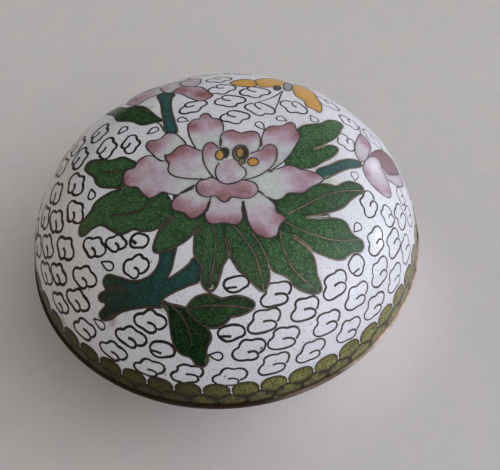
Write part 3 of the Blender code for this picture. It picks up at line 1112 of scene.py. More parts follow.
# A darker copy of the leaf green, for the lower front leaf: painted shade.
enamel(
    "leaf_deep", ((0.010, 0.040, 0.011), (0.002, 0.008, 0.003)), (0.07, 0.11, 0.05), (0.003, 0.005, 0.003),
    shine=0.2, Fleck_share=0.5, Fleck_scale=LEAF_FLECKS, Seam=0.8)
enamel(
    "teal", ((0.028, 0.110, 0.094), (0.010, 0.046, 0.044)), (0.08, 0.20, 0.17), (0.006, 0.014, 0.014),
    shine=0.4, Fleck_share=0.3, Fleck_scale=STEM_FLECKS, Seam=0.7)
# The trunk's dark root end is painted shade.
enamel(
    "teal_dark", shaded_towards_root((0.010, 0.078, 0.063), (0.002, 0.022, 0.019), (0.001, 0.009, 0.008)),
    (0.04, 0.13, 0.11), (0.003, 0.006, 0.006),
    shine=0.36, Fleck_share=0.35, Fleck_scale=STEM_FLECKS, Seam=0.8)
enamel(
    "coin", ((0.32, 0.295, 0.085), (0.070, 0.074, 0.026)), (0.008, 0.008, 0.005), (0.021, 0.016, 0.009),
    BORDER_SHINE, BORDER_COAT, Fleck_share=0.5, Fleck_scale=2300.0, Seam=0.97, Pits=0.1, Gloss_loss=0.17)
enamel(
    "strip", ((0.10, 0.090, 0.032), (0.028, 0.025, 0.012)), (0.012, 0.011, 0.007), (0.018, 0.013, 0.008),
    BORDER_SHINE, BORDER_COAT, Fleck_share=0.3, Fleck_scale=2000.0, Seam=0.95, Pits=0.1, Gloss_loss=0.2)
enamel(
    "lining", ((0.055, 0.30, 0.34), (0.030, 0.20, 0.25)), (0.02, 0.05, 0.06), (0.02, 0.06, 0.07),
    Clouding=0.7, Fleck_share=0.10, Fleck_scale=1300.0, Seam=0.3, Pits=0.2, Gloss_loss=0.2)
print(len(enamels), "enamels")

# %% [markdown]
# ## Which part of each wire shows
# Where a lower cell runs under an upper one its wire isn't there, and where two loops nearly share an
# edge only the upper one's wire is. Each loop is walked once: a stretch that is inside or very near an
# upper cell is dropped, and the ends that are left run on until they touch the upper wire.

# %% Visible wires
SHARED_WIRE = 0.55
RUN_ON = 3
SHORTEST_RUN = 3
PALE_ENAMELS = ("petal", "petal_pale", "petal_rose", "amber", "orange", "grey", "soot", "brass_green")
UNWIRED_CELLS = ("leaf_ground", "flower_ground")


def visible_runs(path, uppers, shared=SHARED_WIRE):
    """The stretches of an open path that no upper cell hides or shares."""
    covered = np.zeros(len(path), bool)
    hidden = np.zeros(len(path), bool)
    for upper in uppers:
        low, high = upper.edge.min(axis=0) - shared, upper.edge.max(axis=0) + shared
        near = ((path > low) & (path < high)).all(axis=1)
        if near.any():
            covered[near] |= inside(path[near], upper.edge)
            hidden[near] |= covered[near] | (distance_to(path[near], upper.edge) < shared)
    runs, run = [], []
    for i in range(len(path) + 1):
        if i < len(path) and not hidden[i]:
            run.append(i)
        elif run:
            first, last = run[0], run[-1]
            for _ in range(RUN_ON):
                first = first - 1 if first > 0 and not covered[first - 1] else first
                last = last + 1 if last + 1 < len(path) and not covered[last + 1] else last
            if len(run) >= SHORTEST_RUN:
                runs.append(path[first : last + 1])
            run = []
    return runs


petal_wires, leaf_wires = [], []
for k, made in enumerate(cells):
    if made.name not in UNWIRED_CELLS:
        wires = petal_wires if made.enamel in PALE_ENAMELS else leaf_wires
        wires.extend(visible_runs(made.wire, cells[k + 1 :]))
for name, drawn in veins.items():
    line = smooth(on_lid(drawn), closed=False)
    below = [i for i, made in enumerate(cells) if made.name == name]
    uppers = cells[below[0] + 1 :] if below else []
    wires = petal_wires if name.startswith("feeler") else leaf_wires
    wires.extend(visible_runs(line, [upper for upper in uppers if upper.enamel in PALE_ENAMELS]))
leaf_wires += [hairpin(drawn, half_gap) for drawn, half_gap in leaf_hairpins]
petal_wires += [hairpin(drawn, PETAL_PIN_GAP) for drawn in petal_hairpins]
print(len(petal_wires), "petal wires,", len(leaf_wires), "leaf wires")

# %% [markdown]
# ## Blush
# Each petal is pinkest at a few places along its outer edge. A tip is a place, how far the pink
# reaches, and how strong it is.

# %% Petal tips
PIXEL_SIZE = 0.175
petal_tips = {
    "petal_far_left": [(150, 146, 13, 1.0), (170, 134, 9, 0.4)],
    "petal_left_inner": [(180, 147, 12, 0.9), (166, 156, 8, 0.9), (196, 150, 9, 0.4), (178, 164, 20, 0.25)],
    "petal_left_large": [(124, 179, 13, 0.9), (140, 160, 9, 0.8), (147, 196, 10, 0.6), (156, 176, 22, 0.3)],
    "petal_top_left": [(205, 114, 9, 0.9), (190, 126, 10, 0.8), (219, 121, 9, 0.7), (203, 126, 14, 0.35)],
    "petal_top": [(230, 131, 10, 0.8), (252, 131, 10, 0.75), (241, 138, 12, 0.6)],
    "petal_right_high": [(271, 127, 11, 1.0), (290, 123, 9, 0.9), (299, 135, 11, 0.9), (284, 140, 14, 0.3)],
    "petal_heart_left": [(210, 144, 9, 0.9), (206, 154, 10, 0.5)],
    "petal_front_curl": [
        (201, 190, 12, 0.75), (222, 199, 11, 0.65), (248, 192, 12, 0.6), (230, 188, 18, 0.5)],
    "petal_lower_left": [(174, 205, 12, 0.85), (192, 217, 12, 0.9), (205, 209, 8, 0.5)],
    "petal_heart_right": [(271, 149, 13, 0.85), (262, 158, 10, 0.35)],
    "petal_front": [(230, 165, 14, 0.45), (228, 183, 10, 0.3)],
    "petal_right_large": [
        (289, 166, 10, 0.7), (312, 174, 11, 0.75), (303, 192, 9, 0.7), (296, 180, 13, 0.25)],
    "petal_lower_middle": [
        (210, 221, 9, 0.85), (237, 222, 9, 0.85), (223, 222, 7, 0.5), (224, 206, 18, 0.22)],
    "petal_lower_right": [
        (262, 237, 11, 0.85), (283, 218, 10, 0.85), (251, 228, 8, 0.5), (260, 216, 18, 0.25)],
    "bud_tip": [(369, 145, 9, 0.9), (360, 136, 8, 0.6), (358, 160, 7, 0.3)],
    "bud_right": [(380, 151, 12, 0.7), (397, 168, 10, 0.8), (390, 160, 10, 0.5)],
    "bud_front": [(366, 174, 8, 0.7), (377, 189, 9, 0.6), (388, 190, 7, 0.5)],
    "bud_low": [(402, 184, 8, 0.3)],
    "second_right": [(181, 90, 10, 1.0), (200, 94, 12, 1.0), (212, 95, 8, 1.0)],
    "second_left": [(135, 100, 14, 1.0), (150, 93, 10, 0.5)],
    "second_middle": [(166, 88, 8, 0.5), (178, 84, 7, 0.5)],
    "second_top": [(190, 81, 9, 0.4)],
}
tips = {
    name: [
        PetalTip(place, reach * PIXEL_SIZE, strength)
        for place, (_, _, reach, strength) in zip(on_lid([spot[:2] for spot in spots]), spots)
    ]
    for name, spots in petal_tips.items()
}
tips["second_back"] = [PetalTip((-4, 35), 4.5, 0.9), PetalTip((4, 32), 3.5, 0.8)]
tips["second_left_back"] = [PetalTip((-14, 31), 4.5, 1.0)]
print(sum(len(spots) for spots in tips.values()), "pink tips on", len(tips), "petals")

# %% Lid and bowl
FOOT_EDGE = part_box("foot_ring")[1].x / MM
LINING_INSIDE_FOOT = 1.0
lid_border_cells = border_cells(lid_profile, LID_REACH)
bowl_border_cells = border_cells(bowl_profile, BOWL_REACH)


def coin_edges(border):
    return [made.edge for made in border if made.enamel == "coin"]


lid_seams = petal_wires + leaf_wires + coin_edges(lid_border_cells)
bowl_seams = coin_edges(bowl_border_cells)
lid = shell("lid_enamel", lid_profile, LID_REACH, lid_border_cells + cells, enamels, lid_seams, tips)
bowl = shell(
    "bowl_enamel", bowl_profile, BOWL_REACH, bowl_border_cells, enamels, bowl_seams, {},
    underside=FOOT_EDGE - LINING_INSIDE_FOOT)

# %% [markdown]
# ## Wires
# A cloison is a thin strip of metal on edge, of which only the polished top shows, about 0.3 mm wide.
# A curve with a round bevel would sit on the glass like a thread, so the geometry nodes sweep a low
# arched ribbon instead, turned to the surface at every point and a few hundredths of a millimetre
# proud. The wires are drawn broader towards the left, away from the light, as painted shade beside
# them, and no wire is quite even.
# The same group serves wires that are drawn and wires that repeat.

# %% Ribbon group
ARCH_POINTS = 3
RIBBON_SIZES = [("Width", "Float", 0.3 * MM), ("Rise", "Float", 0.03 * MM), ("Step", "Float", 0.5 * MM)]
# Where wires are broadest, on the shaded left, and finest, on the lit right: painted shade.
SHADED_SIDE_X, LIT_SIDE_X = -38 * MM, 38 * MM
BROADEST, FINEST = 1.58, 0.75
LIGHT_PRESS, HARD_PRESS = 0.82, 1.18
ribbon, taken, given = new_group(
    "Wire ribbon",
    "GeometryNodeTree",
    [("Wires", "Geometry", None), ("Shell", "Geometry", None), *RIBBON_SIZES],
    [("Ribbons", "Geometry")],
)
paths = result(ribbon, "GeometryNodeMeshToCurve", {"Mesh": taken["Wires"]})
even = result(ribbon, "GeometryNodeResampleCurve", {"Curve": paths, "Length": taken["Step"]}, mode="LENGTH")
outward = result(ribbon, "GeometryNodeInputNamedAttribute", {"Name": "outward"}, data_type="FLOAT_VECTOR")
direction = result(ribbon, "GeometryNodeSampleNearestSurface", {
    "Mesh": taken["Shell"], "Value": outward}, data_type="FLOAT_VECTOR")
faced = result(ribbon, "GeometryNodeSetCurveNormal", {"Curve": even, "Normal": direction}, mode="FREE")
low = maths(ribbon, "MULTIPLY", taken["Rise"], -0.5)
left_half, right_half = (maths(ribbon, "MULTIPLY", taken["Width"], share) for share in (-0.5, 0.5))
arch = result(ribbon, "GeometryNodeCurveArc", {
    "Resolution": ARCH_POINTS,
    "Start": result(ribbon, "ShaderNodeCombineXYZ", {"X": low, "Y": left_half}),
    "Middle": result(ribbon, "ShaderNodeCombineXYZ", {"X": taken["Rise"]}),
    "End": result(ribbon, "ShaderNodeCombineXYZ", {"X": low, "Y": right_half}),
}, mode="POINTS")
along_arch = add(ribbon, "GeometryNodeSplineParameter").outputs["Factor"]
crest = maths(ribbon, "PINGPONG", maths(ribbon, "MULTIPLY", along_arch, 2.0), 1.0)
arch = result(ribbon, "GeometryNodeStoreNamedAttribute", {"Geometry": arch, "Name": "crest", "Value": crest})
sideways = result(ribbon, "ShaderNodeSeparateXYZ", {"Vector": result(ribbon, "GeometryNodeInputPosition")})
# Broader towards the shaded left: the extra dark width is painted shade.
broad_in_shade = rescale(ribbon, sideways, SHADED_SIDE_X, LIT_SIDE_X, BROADEST, FINEST)
pressed_out = rescale(ribbon, noise(ribbon, 260.0, 1.0), 0.3, 0.7, LIGHT_PRESS, HARD_PRESS)
breadth = maths(ribbon, "MULTIPLY", broad_in_shade, pressed_out)
swept = result(ribbon, "GeometryNodeCurveToMesh", {"Curve": faced, "Profile Curve": arch, "Scale": breadth})
ribbon.links.new(result(ribbon, "GeometryNodeSetShadeSmooth", {"Geometry": swept}), given["Ribbons"])
print(ribbon.name, len(ribbon.nodes), "nodes")

# %% Tree for drawn wires
def ribbons_on(tree, taken, wires, wall):
    """Ribbons along wires, turned to a wall."""
    sizes = {label: taken[label] for label, _, _ in RIBBON_SIZES}
    return result(tree, "GeometryNodeGroup", {"Wires": wires, "Shell": wall, **sizes}, node_tree=ribbon)


def finish_tree(tree, made, taken, given):
    """Ends a tree with real geometry of the metal that it takes."""
    whole = result(tree, "GeometryNodeRealizeInstances", {"Geometry": made})
    coated = result(tree, "GeometryNodeSetMaterial", {"Geometry": whole, "Material": taken["Metal"]})
    tree.links.new(coated, given[0])


drawn_tree, taken, given = new_group(
    "Drawn wires",
    "GeometryNodeTree",
    [("Wires", "Geometry", None), ("Shell", "Object", None), *RIBBON_SIZES, ("Metal", "Material", None)],
    [("Ribbons", "Geometry")],
)
wall = add(drawn_tree, "GeometryNodeObjectInfo", {"Object": taken["Shell"]}).outputs["Geometry"]
finish_tree(drawn_tree, ribbons_on(drawn_tree, taken, taken["Wires"], wall), taken, given)
print(drawn_tree.name, len(drawn_tree.nodes), "nodes")

# %% [markdown]
# Clouds, drops and scallops repeat, so they are instances of a few shapes on points. Each point says
# which shape it carries, how it is turned and how large it is. The instances are laid on the tangent,
# bent a little at random as by hand, pressed onto the wall, and cut wherever the ground ends.

# %% Tree for repeated wires
BEND_SCALE = 420.0
repeat_tree, taken, given = new_group(
    "Repeated wires",
    "GeometryNodeTree",
    [("Points", "Geometry", None), ("Shapes", "Collection", None), ("Shell", "Object", None),
     ("Hand", "Float", 0.1 * MM), *RIBBON_SIZES, ("On ground", "Float", 1.0), ("Metal", "Material", None)],
    [("Ribbons", "Geometry")],
)


def carried(name, kind="FLOAT_VECTOR"):
    """An attribute that the points or the wall carry."""
    return result(repeat_tree, "GeometryNodeInputNamedAttribute", {"Name": name}, data_type=kind)


patterns = result(repeat_tree, "GeometryNodeCollectionInfo", {
    "Collection": taken["Shapes"], "Separate Children": True, "Reset Children": True})
stance = result(
    repeat_tree, "FunctionNodeAxesToRotation", {0: carried("facing"), 1: carried("upright")},
    primary_axis="Z", secondary_axis="Y")
placed = result(repeat_tree, "GeometryNodeInstanceOnPoints", {
    "Points": taken["Points"], "Instance": patterns, "Pick Instance": True,
    "Instance Index": carried("shape", "INT"), "Rotation": stance, "Scale": carried("size")})
loose = result(repeat_tree, "GeometryNodeRealizeInstances", {"Geometry": placed})
wander = add(repeat_tree, "ShaderNodeTexNoise", {"Scale": BEND_SCALE, "Detail": 1.0}).outputs["Color"]
centred = vector_maths(repeat_tree, "SUBTRACT", {0: wander, 1: (0.5, 0.5, 0.5)}).outputs[0]
amount = vector_maths(repeat_tree, "SCALE", {0: centred, "Scale": taken["Hand"]}).outputs[0]
bent = result(repeat_tree, "GeometryNodeSetPosition", {"Geometry": loose, "Offset": amount})

# %% Press the wires on and cut them where the ground ends
wall = add(repeat_tree, "GeometryNodeObjectInfo", {"Object": taken["Shell"]}).outputs["Geometry"]
nearest = result(repeat_tree, "GeometryNodeProximity", {0: wall}, target_element="FACES")
pressed = result(repeat_tree, "GeometryNodeSetPosition", {"Geometry": bent, "Position": nearest})
lies_on = result(
    repeat_tree, "GeometryNodeSampleNearestSurface", {"Mesh": wall, "Value": carried("ground", "FLOAT")},
    data_type="FLOAT")
missing = result(
    repeat_tree, "FunctionNodeCompare", {0: lies_on, 1: 0.5}, data_type="FLOAT", operation="LESS_THAN")
wanted = result(
    repeat_tree, "FunctionNodeCompare", {0: taken["On ground"], 1: 0.5}, data_type="FLOAT",
    operation="GREATER_THAN")
cut = result(repeat_tree, "FunctionNodeBooleanMath", {0: missing, 1: wanted}, operation="AND")
trimmed = result(repeat_tree, "GeometryNodeDeleteGeometry", {"Geometry": pressed, "Selection": cut})
finish_tree(repeat_tree, ribbons_on(repeat_tree, taken, trimmed, wall), taken, given)
print(repeat_tree.name, len(repeat_tree.nodes), "nodes")


# %% Run a tree and keep its mesh
WIRE_MAP = 0.49


def run_tree(host, tree, values):
    """Evaluates a tree on a host object and returns a plain mesh object with the host's name."""
    modifier = host.modifiers.new("nodes", "NODES")
    modifier.node_group = tree
    sockets = {item.name: item.identifier for item in tree.interface.items_tree if item.in_out == "INPUT"}
    for label, value in values.items():
        modifier[sockets[label]] = value
    host.update_tag()
    seen = host.evaluated_get(bpy.context.evaluated_depsgraph_get())
    mesh = bpy.data.meshes.new_from_object(seen)
    name = host.name
    host.modifiers.remove(modifier)
    bpy.data.objects.remove(host)
    print(name, len(mesh.polygons) * 2, "triangles")
    return in_scene(name, mesh)


def line_object(name, runs):
    """A mesh of bare edges from runs of places in metres."""
    vertices, edges = [], []
    for run in runs:
        first = len(vertices)
        vertices.extend(tuple(p) for p in run)
        edges.extend((first + i, first + i + 1) for i in range(len(run) - 1))
    mesh = bpy.data.meshes.new(name)
    mesh.from_pydata(vertices, edges, [])
    return in_scene(name, mesh)


def bake_map(piece, distance, reach):
    """Gives a wire piece the pattern's own map, on which no two ribbons overlap."""
    mesh = piece.data
    places = np.zeros(len(mesh.vertices) * 3, np.float32)
    mesh.vertices.foreach_get("co", places)
    corners = np.zeros(len(mesh.loops), np.int32)
    mesh.loops.foreach_get("vertex_index", corners)
    chart = unwrap(distance, places.reshape(-1, 3)) / reach * WIRE_MAP + 0.5
    mesh.uv_layers.new(name="OFBake").data.foreach_set("uv", chart[corners].astype(np.float32).ravel())


# %% [markdown]
# ## Metal
# The wires were polished flush long ago and have turned dark brown. The rims are the same brass, dark
# in the hollows and worn in scuffs and patches. Across the box wires and rims are painted darker on
# the left and lighter on the right: painted shade, and on the rims a painted tan reflection of the
# window. A leaf's wire is bright along its crest only, and dark where it meets the enamel.

# %% Shared effect: worn metal
worn, taken, given = new_group(
    "Worn metal",
    "ShaderNodeTree",
    [("Bright", "Color", (0.5, 0.35, 0.2, 1)), ("Dark", "Color", (0.1, 0.07, 0.05, 1)),
     ("Rubbed", "Float", 0.5), ("Grain", "Float", 900.0)],
    [("Colour", "Color"), ("Roughness", "Float"), ("Normal", "Vector")],
)
where = object_place(worn)
close = noise(worn, taken["Grain"], 3.0, where)
patches = rescale(worn, noise(worn, 70.0, 4.0, where, Roughness=0.65), 0.35, 0.65)
scuffs = rescale(worn, close, 0.3, 0.7)
polished = maths(worn, "MULTIPLY_ADD", scuffs, 0.5, maths(worn, "MULTIPLY", patches, 0.5))
# This factor carries the wear and also the painted light of the side ramp.
polished = maths(worn, "MULTIPLY", polished, taken["Rubbed"])
worn.links.new(mix_colour(worn, polished, taken["Dark"], taken["Bright"]), given["Colour"])
worn.links.new(maths(worn, "MULTIPLY_ADD", scuffs, 0.22, 0.28), given["Roughness"])
dents = result(worn, "ShaderNodeBump", {"Height": close, "Strength": 0.3, "Distance": 0.04 * MM})
worn.links.new(dents, given["Normal"])
print(worn.name, len(worn.nodes), "nodes")


# %% Metal materials
CREST_DARK = 0.64
CREST_BRIGHT = 0.86
WIRE_GRAIN = 900.0
RIM_GRAIN = 500.0


def metal(name, bright, dark, rubbed_and_lit, metallic, grain=WIRE_GRAIN, lit_ramp=None, edged=False, shine=0.5):
    """Brass worn bright by rubbing. An edged wire is bright along its crest only.

    The side ramp paints shade and a reflection across the box: where the metal is darkest, on the
    left, and where brightest, on the right, in mm from the axis, and how bright it stays on the dark side.
    """
    material, tree, shader = new_material(name)
    if lit_ramp:
        # The side ramp: painted shade towards the left, painted light towards the right.
        shaded_side, lit_side, least = lit_ramp
        rubbed_and_lit = across_box(tree, shaded_side, lit_side, least, rubbed_and_lit)
    if edged:
        crest = add(tree, "ShaderNodeAttribute", attribute_name="crest").outputs["Fac"]
        rubbed_and_lit = maths(tree, "MULTIPLY", rubbed_and_lit, rescale(tree, crest, CREST_DARK, CREST_BRIGHT))
    effect = add(tree, "ShaderNodeGroup", {
        "Bright": (*bright, 1), "Dark": (*dark, 1), "Rubbed": rubbed_and_lit, "Grain": grain}, node_tree=worn).outputs
    for source, label in (("Colour", "Base Color"), ("Roughness", "Roughness"), ("Normal", "Normal")):
        tree.links.new(effect[source], shader.inputs[label])
    shader.inputs["Metallic"].default_value = metallic
    shader.inputs["Specular IOR Level"].default_value = shine
    return material


# Each ramp paints shade on the left and light on the right; on the rim, a tan reflection.
wire_dark = metal(
    "wire_dark", (0.150, 0.115, 0.100), (0.006, 0.004, 0.004), 0.85, 0.1, lit_ramp=(-22, 22, 0.1), shine=0.2)
wire_petal = metal(
    "wire_petal", (0.085, 0.050, 0.041), (0.022, 0.013, 0.012), 0.85, 0.2, lit_ramp=(-25, 5, 0.4))
wire_brown = metal(
    "wire_brown", (0.62, 0.50, 0.33), (0.022, 0.014, 0.010), 0.95, 0.2, lit_ramp=(-16, 12, 0.06), edged=True)
wire_border = metal("wire_border", (0.060, 0.048, 0.022), (0.018, 0.014, 0.008), 0.7, 0.0, shine=0.1)
rim_metal = metal(
    "rim_worn_brass", (0.86, 0.67, 0.52), (0.030, 0.014, 0.009), 1.0, 0.6, RIM_GRAIN, lit_ramp=(3, 25, 0.03),
    shine=0.1)

# %% Drawn wires of the lid
PETAL_WIRE = 0.37 * MM
LEAF_WIRE = 0.48 * MM
WIRE_RISE = 0.03 * MM
WIRE_STEP = 0.5 * MM


def drawn_wires(name, runs, width, material):
    """A piece of wires that follow their own lines on the lid."""
    host = line_object(name, [wrap(lid_profile, run)[0] for run in runs])
    return run_tree(host, drawn_tree, {
        "Shell": lid, "Width": width, "Rise": WIRE_RISE, "Step": WIRE_STEP, "Metal": material})


petal_ribbons = drawn_wires("lid_wires_petals", petal_wires, PETAL_WIRE, wire_petal)
leaf_ribbons = drawn_wires("lid_wires_leaves", leaf_wires, LEAF_WIRE, wire_brown)

# %% [markdown]
# ### Cloud, bean and drop
# The cloud is one wire. It starts inside, hooks round to the flat base, and runs over the left, top
# and right lobes back to its own hook. A few cells are plain beans with a short tongue, and small
# drops fill the gaps. Points are in half widths and half heights.

# %% Shapes of the repeated wires
CLOUD_WIDTH = 5.7
CLOUD_HEIGHT = 3.75
BEAN_WIDTH = 4.4
BEAN_HEIGHT = 3.0
DROP_LENGTH = 2.6
DROP_WIDTH = 1.5
SHAPE_STEPS = 0.22
cloud_shape = [
    (-0.13, -0.20), (0.10, -0.16), (0.33, -0.25), (0.47, -0.49), (0.45, -0.76), (0.30, -0.95),
    (0.06, -1.0), (-0.28, -0.88), (-0.58, -0.84), (-0.87, -0.61), (-1.0, -0.24), (-0.94, 0.09),
    (-0.75, 0.29), (-0.54, 0.37), (-0.42, 0.68), (-0.22, 0.96), (0.02, 0.98), (0.25, 0.80), (0.55, 0.82),
    (0.85, 0.66), (1.0, 0.33), (0.93, -0.08), (0.78, -0.33), (0.55, -0.48),
]
round_cloud_shape = [
    (-0.07, -0.05), (0.18, -0.05), (0.44, -0.16), (0.62, -0.42), (0.60, -0.72), (0.42, -0.93),
    (0.10, -1.0), (-0.25, -0.98), (-0.62, -0.90), (-0.90, -0.68), (-1.0, -0.30), (-0.86, 0.06),
    (-0.60, 0.26), (-0.52, 0.42), (-0.52, 0.74), (-0.24, 0.99), (0.12, 0.95), (0.34, 0.84), (0.56, 0.88),
    (0.84, 0.76), (1.0, 0.40), (0.94, 0.05), (0.78, -0.28), (0.70, -0.36),
]
bean_shape = [
    (0.0, -0.40), (-0.45, -0.34), (-0.95, -0.30), (-0.99, 0.10), (-0.78, 0.62), (-0.30, 0.86),
    (0.25, 0.94), (0.75, 0.76), (1.0, 0.22), (0.88, -0.36), (0.45, -0.62), (0.12, -0.88), (-0.35, -0.96),
    (-0.72, -0.70), (-0.92, -0.36),
]
drop_shape = [
    (-1.0, 0.0), (-0.5, 0.42), (0.0, 0.86), (0.5, 0.98), (0.9, 0.6), (1.0, 0.0), (0.9, -0.6),
    (0.5, -0.98), (0.0, -0.86), (-0.5, -0.42), (-1.0, 0.0),
]
drawn_shapes = [
    ("a_cloud", cloud_shape, CLOUD_WIDTH, CLOUD_HEIGHT),
    ("b_round_cloud", round_cloud_shape, CLOUD_WIDTH, CLOUD_HEIGHT),
    ("c_bean", bean_shape, BEAN_WIDTH, BEAN_HEIGHT),
    ("d_drop", drop_shape, DROP_LENGTH, DROP_WIDTH),
]
shape_runs = [
    (label, smooth(np.array(drawn) * (width / 2, height / 2), False, SHAPE_STEPS))
    for label, drawn, width, height in drawn_shapes
]

# %% Coins as shapes
COIN_SHARED_WIRE = 0.1
LOWER_COIN_FOOT = 0.2
row_rise = UPPER_COIN[0] - LOWER_COIN[0]
row_step = COIN_STEP * pattern_radius(lid_profile, LID_REACH - UPPER_COIN[0])
turns = np.arange(COIN_POINTS + 1) * 2 * math.pi / COIN_POINTS
coin_width = COIN_HALF_WIDTH * np.sign(np.cos(turns)) * np.abs(np.cos(turns)) ** COIN_FULLNESS
upper_coin, lower_coin = (
    np.column_stack((coin_width, half_height * np.sin(turns))) for _, half_height in (UPPER_COIN, LOWER_COIN))
neighbours = [Cell("", "", upper_coin + (side * row_step / 2, row_rise), None) for side in (-1, 1)]
lower_coin = np.roll(lower_coin[:-1], COIN_POINTS // 4, axis=0)
shown = lower_coin[lower_coin[:, 1] > LOWER_COIN_FOOT - LOWER_COIN[0]]
shape_runs.append(("e_upper_coin", upper_coin))
shape_runs.append(("f_lower_coin", *visible_runs(shown, neighbours, COIN_SHARED_WIRE)))
shapes = bpy.data.collections.new("wire_shapes")
bpy.context.scene.collection.children.link(shapes)
for label, *runs in shape_runs:
    pattern = line_object(label, [np.column_stack((run, np.zeros(len(run)))) * MM for run in runs])
    bpy.context.scene.collection.objects.unlink(pattern)
    shapes.objects.link(pattern)
    print(label, [len(run) for run in runs], "points")
CLOUD, ROUND_CLOUD, BEAN, DROP, UPPER, LOWER = range(len(shapes.objects))

# %% [markdown]
# ### Where the clouds lie
# The clouds that the photograph shows are listed by their middles. They stand with their feet towards
# the rim, give or take a little. On the hidden back and on the bowl, rings of clouds at the same
# spacing fill the ground, apart from places that a listed cloud or a leaf already takes.

# %% Points for the repeated wires
Spot = namedtuple("Spot", "place turn wide tall shape")
rng = random.Random(1907)
TURN_JITTER = 0.10
SIZE_JITTER = 0.05
PLACE_JITTER = 0.25
CLOUD_CLEARANCE = 5.1
MOTIF_CLEARANCE = 2.2
HIDDEN_FACING = 0.16
LID_RINGS = [(20.5, 20), (25.6, 24), (30.7, 28), (35.8, 32), (40.9, 34)]
BOWL_RINGS = [(26.2, 24), (31.4, 28)]
seen_clouds = [
    (65, 248), (47, 246), (38, 245), (46, 273), (58, 274), (84, 277), (60, 303), (77, 300), (84, 329),
    (113, 351), (130.5, 337), (150, 321), (149, 368), (187, 374), (56, 221), (45, 217), (75, 212),
    (56, 193), (76, 184), (62, 167), (80, 158), (78, 146), (100, 133), (107, 148), (193, 107), (235, 117),
    (230, 101), (222, 89), (255, 92), (260, 109), (294, 107), (327, 103), (373, 139), (369, 204),
    (388, 216), (400.5, 216.5), (409, 216), (401, 196), (376, 241), (394, 243), (406, 249), (380, 272),
    (395, 278), (357, 296), (375, 306), (349, 330), (335, 285), (276, 294), (264, 321), (305, 309),
    (327, 323), (284, 338), (249, 350), (311, 351), (274, 364), (230, 377),
]
seen_odd = [
    ((116, 243), ROUND_CLOUD, 0.66, 0.86), ((139, 241), BEAN, 0.74, 1.04), ((162, 350), BEAN, 0.98, 1.05),
    ((136, 266), CLOUD, 0.78, 1.06), ((131, 144), CLOUD, 0.86, 0.92), ((236.5, 284), BEAN, 0.98, 0.92),
    ((231.5, 333), BEAN, 0.98, 0.95), ((94, 247), CLOUD, 0.9, 1.0), ((346, 142), CLOUD, 0.82, 0.96),
    ((357, 265), BEAN, 0.80, 1.15), ((349, 122), CLOUD, 0.78, 0.9), ((219, 79.5), CLOUD, 0.95, 0.9),
]
seen_drops = [
    ((101, 262), (113, 268)), ((94, 319), (104, 328)), ((209, 355), (222, 357)), ((91, 189), (92, 199)),
    ((118, 134), (127, 127)), ((147, 134), (158, 128)), ((188.5, 121), (178, 119)),
    ((264.5, 130), (257, 122)), ((287, 121), (277, 117)), ((310, 115), (317, 122)),
    ((354, 232), (360, 224)), ((355, 181), (354.5, 172)),
]


def jitter(amount):
    return rng.uniform(-amount, amount)


def cloud_spot(place, shape=CLOUD, wide=1.0, tall=1.0):
    """A cloud with its foot towards the rim, a little turned and stretched as by hand."""
    turn = jitter(TURN_JITTER)
    return Spot(place, turn, wide * (1 + jitter(SIZE_JITTER)), tall * (1 + jitter(SIZE_JITTER)), shape)


def rings_of_clouds(rows, allowed):
    """Clouds on rings (distance, count) of the pattern, alternate rings half a step on."""
    made = []
    for k, (s, count) in enumerate(rows):
        for i in range(count):
            turn = 2 * math.pi * (i + k % 2 / 2) / count
            stray = jitter(PLACE_JITTER), jitter(PLACE_JITTER)
            place = np.array((s * math.cos(turn), s * math.sin(turn))) + stray
            if allowed(place):
                made.append(cloud_spot(place, rng.choice((CLOUD, CLOUD, ROUND_CLOUD))))
    return made


stretched = {
    (388, 216): (0.68, 0.95), (400.5, 216.5): (0.86, 1.0), (409, 216): (0.7, 1.0), (401, 196): (0.62, 0.85),
}
lid_spots = [
    cloud_spot(place, rng.choice((CLOUD, CLOUD, ROUND_CLOUD)), *stretched.get(pixel, (1.0, 1.0)))
    for pixel, place in zip(seen_clouds, on_lid(seen_clouds))
]
odd_places = on_lid([place for place, _, _, _ in seen_odd])
lid_spots += [cloud_spot(flat, *odd[1:]) for flat, odd in zip(odd_places, seen_odd)]
taken_places = np.array([spot.place for spot in lid_spots])
motif_points = np.vstack([made.edge for made in cells])


def free_on_back(place):
    """True on the hidden back, away from listed clouds and from the ornament."""
    spot, normal = wrap(lid_profile, [place])
    sight = np.array(eye) - spot[0]
    if normal[0] @ sight / np.linalg.norm(sight) > HIDDEN_FACING:
        return False
    near_cloud = np.hypot(*(taken_places - place).T).min() < CLOUD_CLEARANCE
    return not near_cloud and np.hypot(*(motif_points - place).T).min() > MOTIF_CLEARANCE


lid_spots += rings_of_clouds(LID_RINGS, free_on_back)
drop_ends = on_lid([end for pair in seen_drops for end in pair]).reshape(-1, 2, 2)
drop_spots = []
for point, head in drop_ends:
    place = (point + head) / 2
    along = head - point
    upward = -place / np.linalg.norm(place)
    sideways = np.array((upward[1], -upward[0]))
    turn = math.atan2(along @ upward, along @ sideways)
    drop_spots.append(Spot(place, turn, np.linalg.norm(along) / DROP_LENGTH, 1.0, DROP))
bowl_spots = rings_of_clouds(BOWL_RINGS, lambda place: True)
print(len(lid_spots), "clouds and", len(drop_spots), "drops on the lid,", len(bowl_spots), "on the bowl")


# %% Repeated wires of the lid and the bowl
CLOUD_WIRE = 0.56 * MM
DROP_WIRE = 0.38 * MM
BORDER_WIRE = 0.19 * MM
CLOUD_BEND = 0.32 * MM
DROP_BEND = 0.15 * MM
DROP_STEP = 0.3 * MM
TANGENT_REACH = 0.2


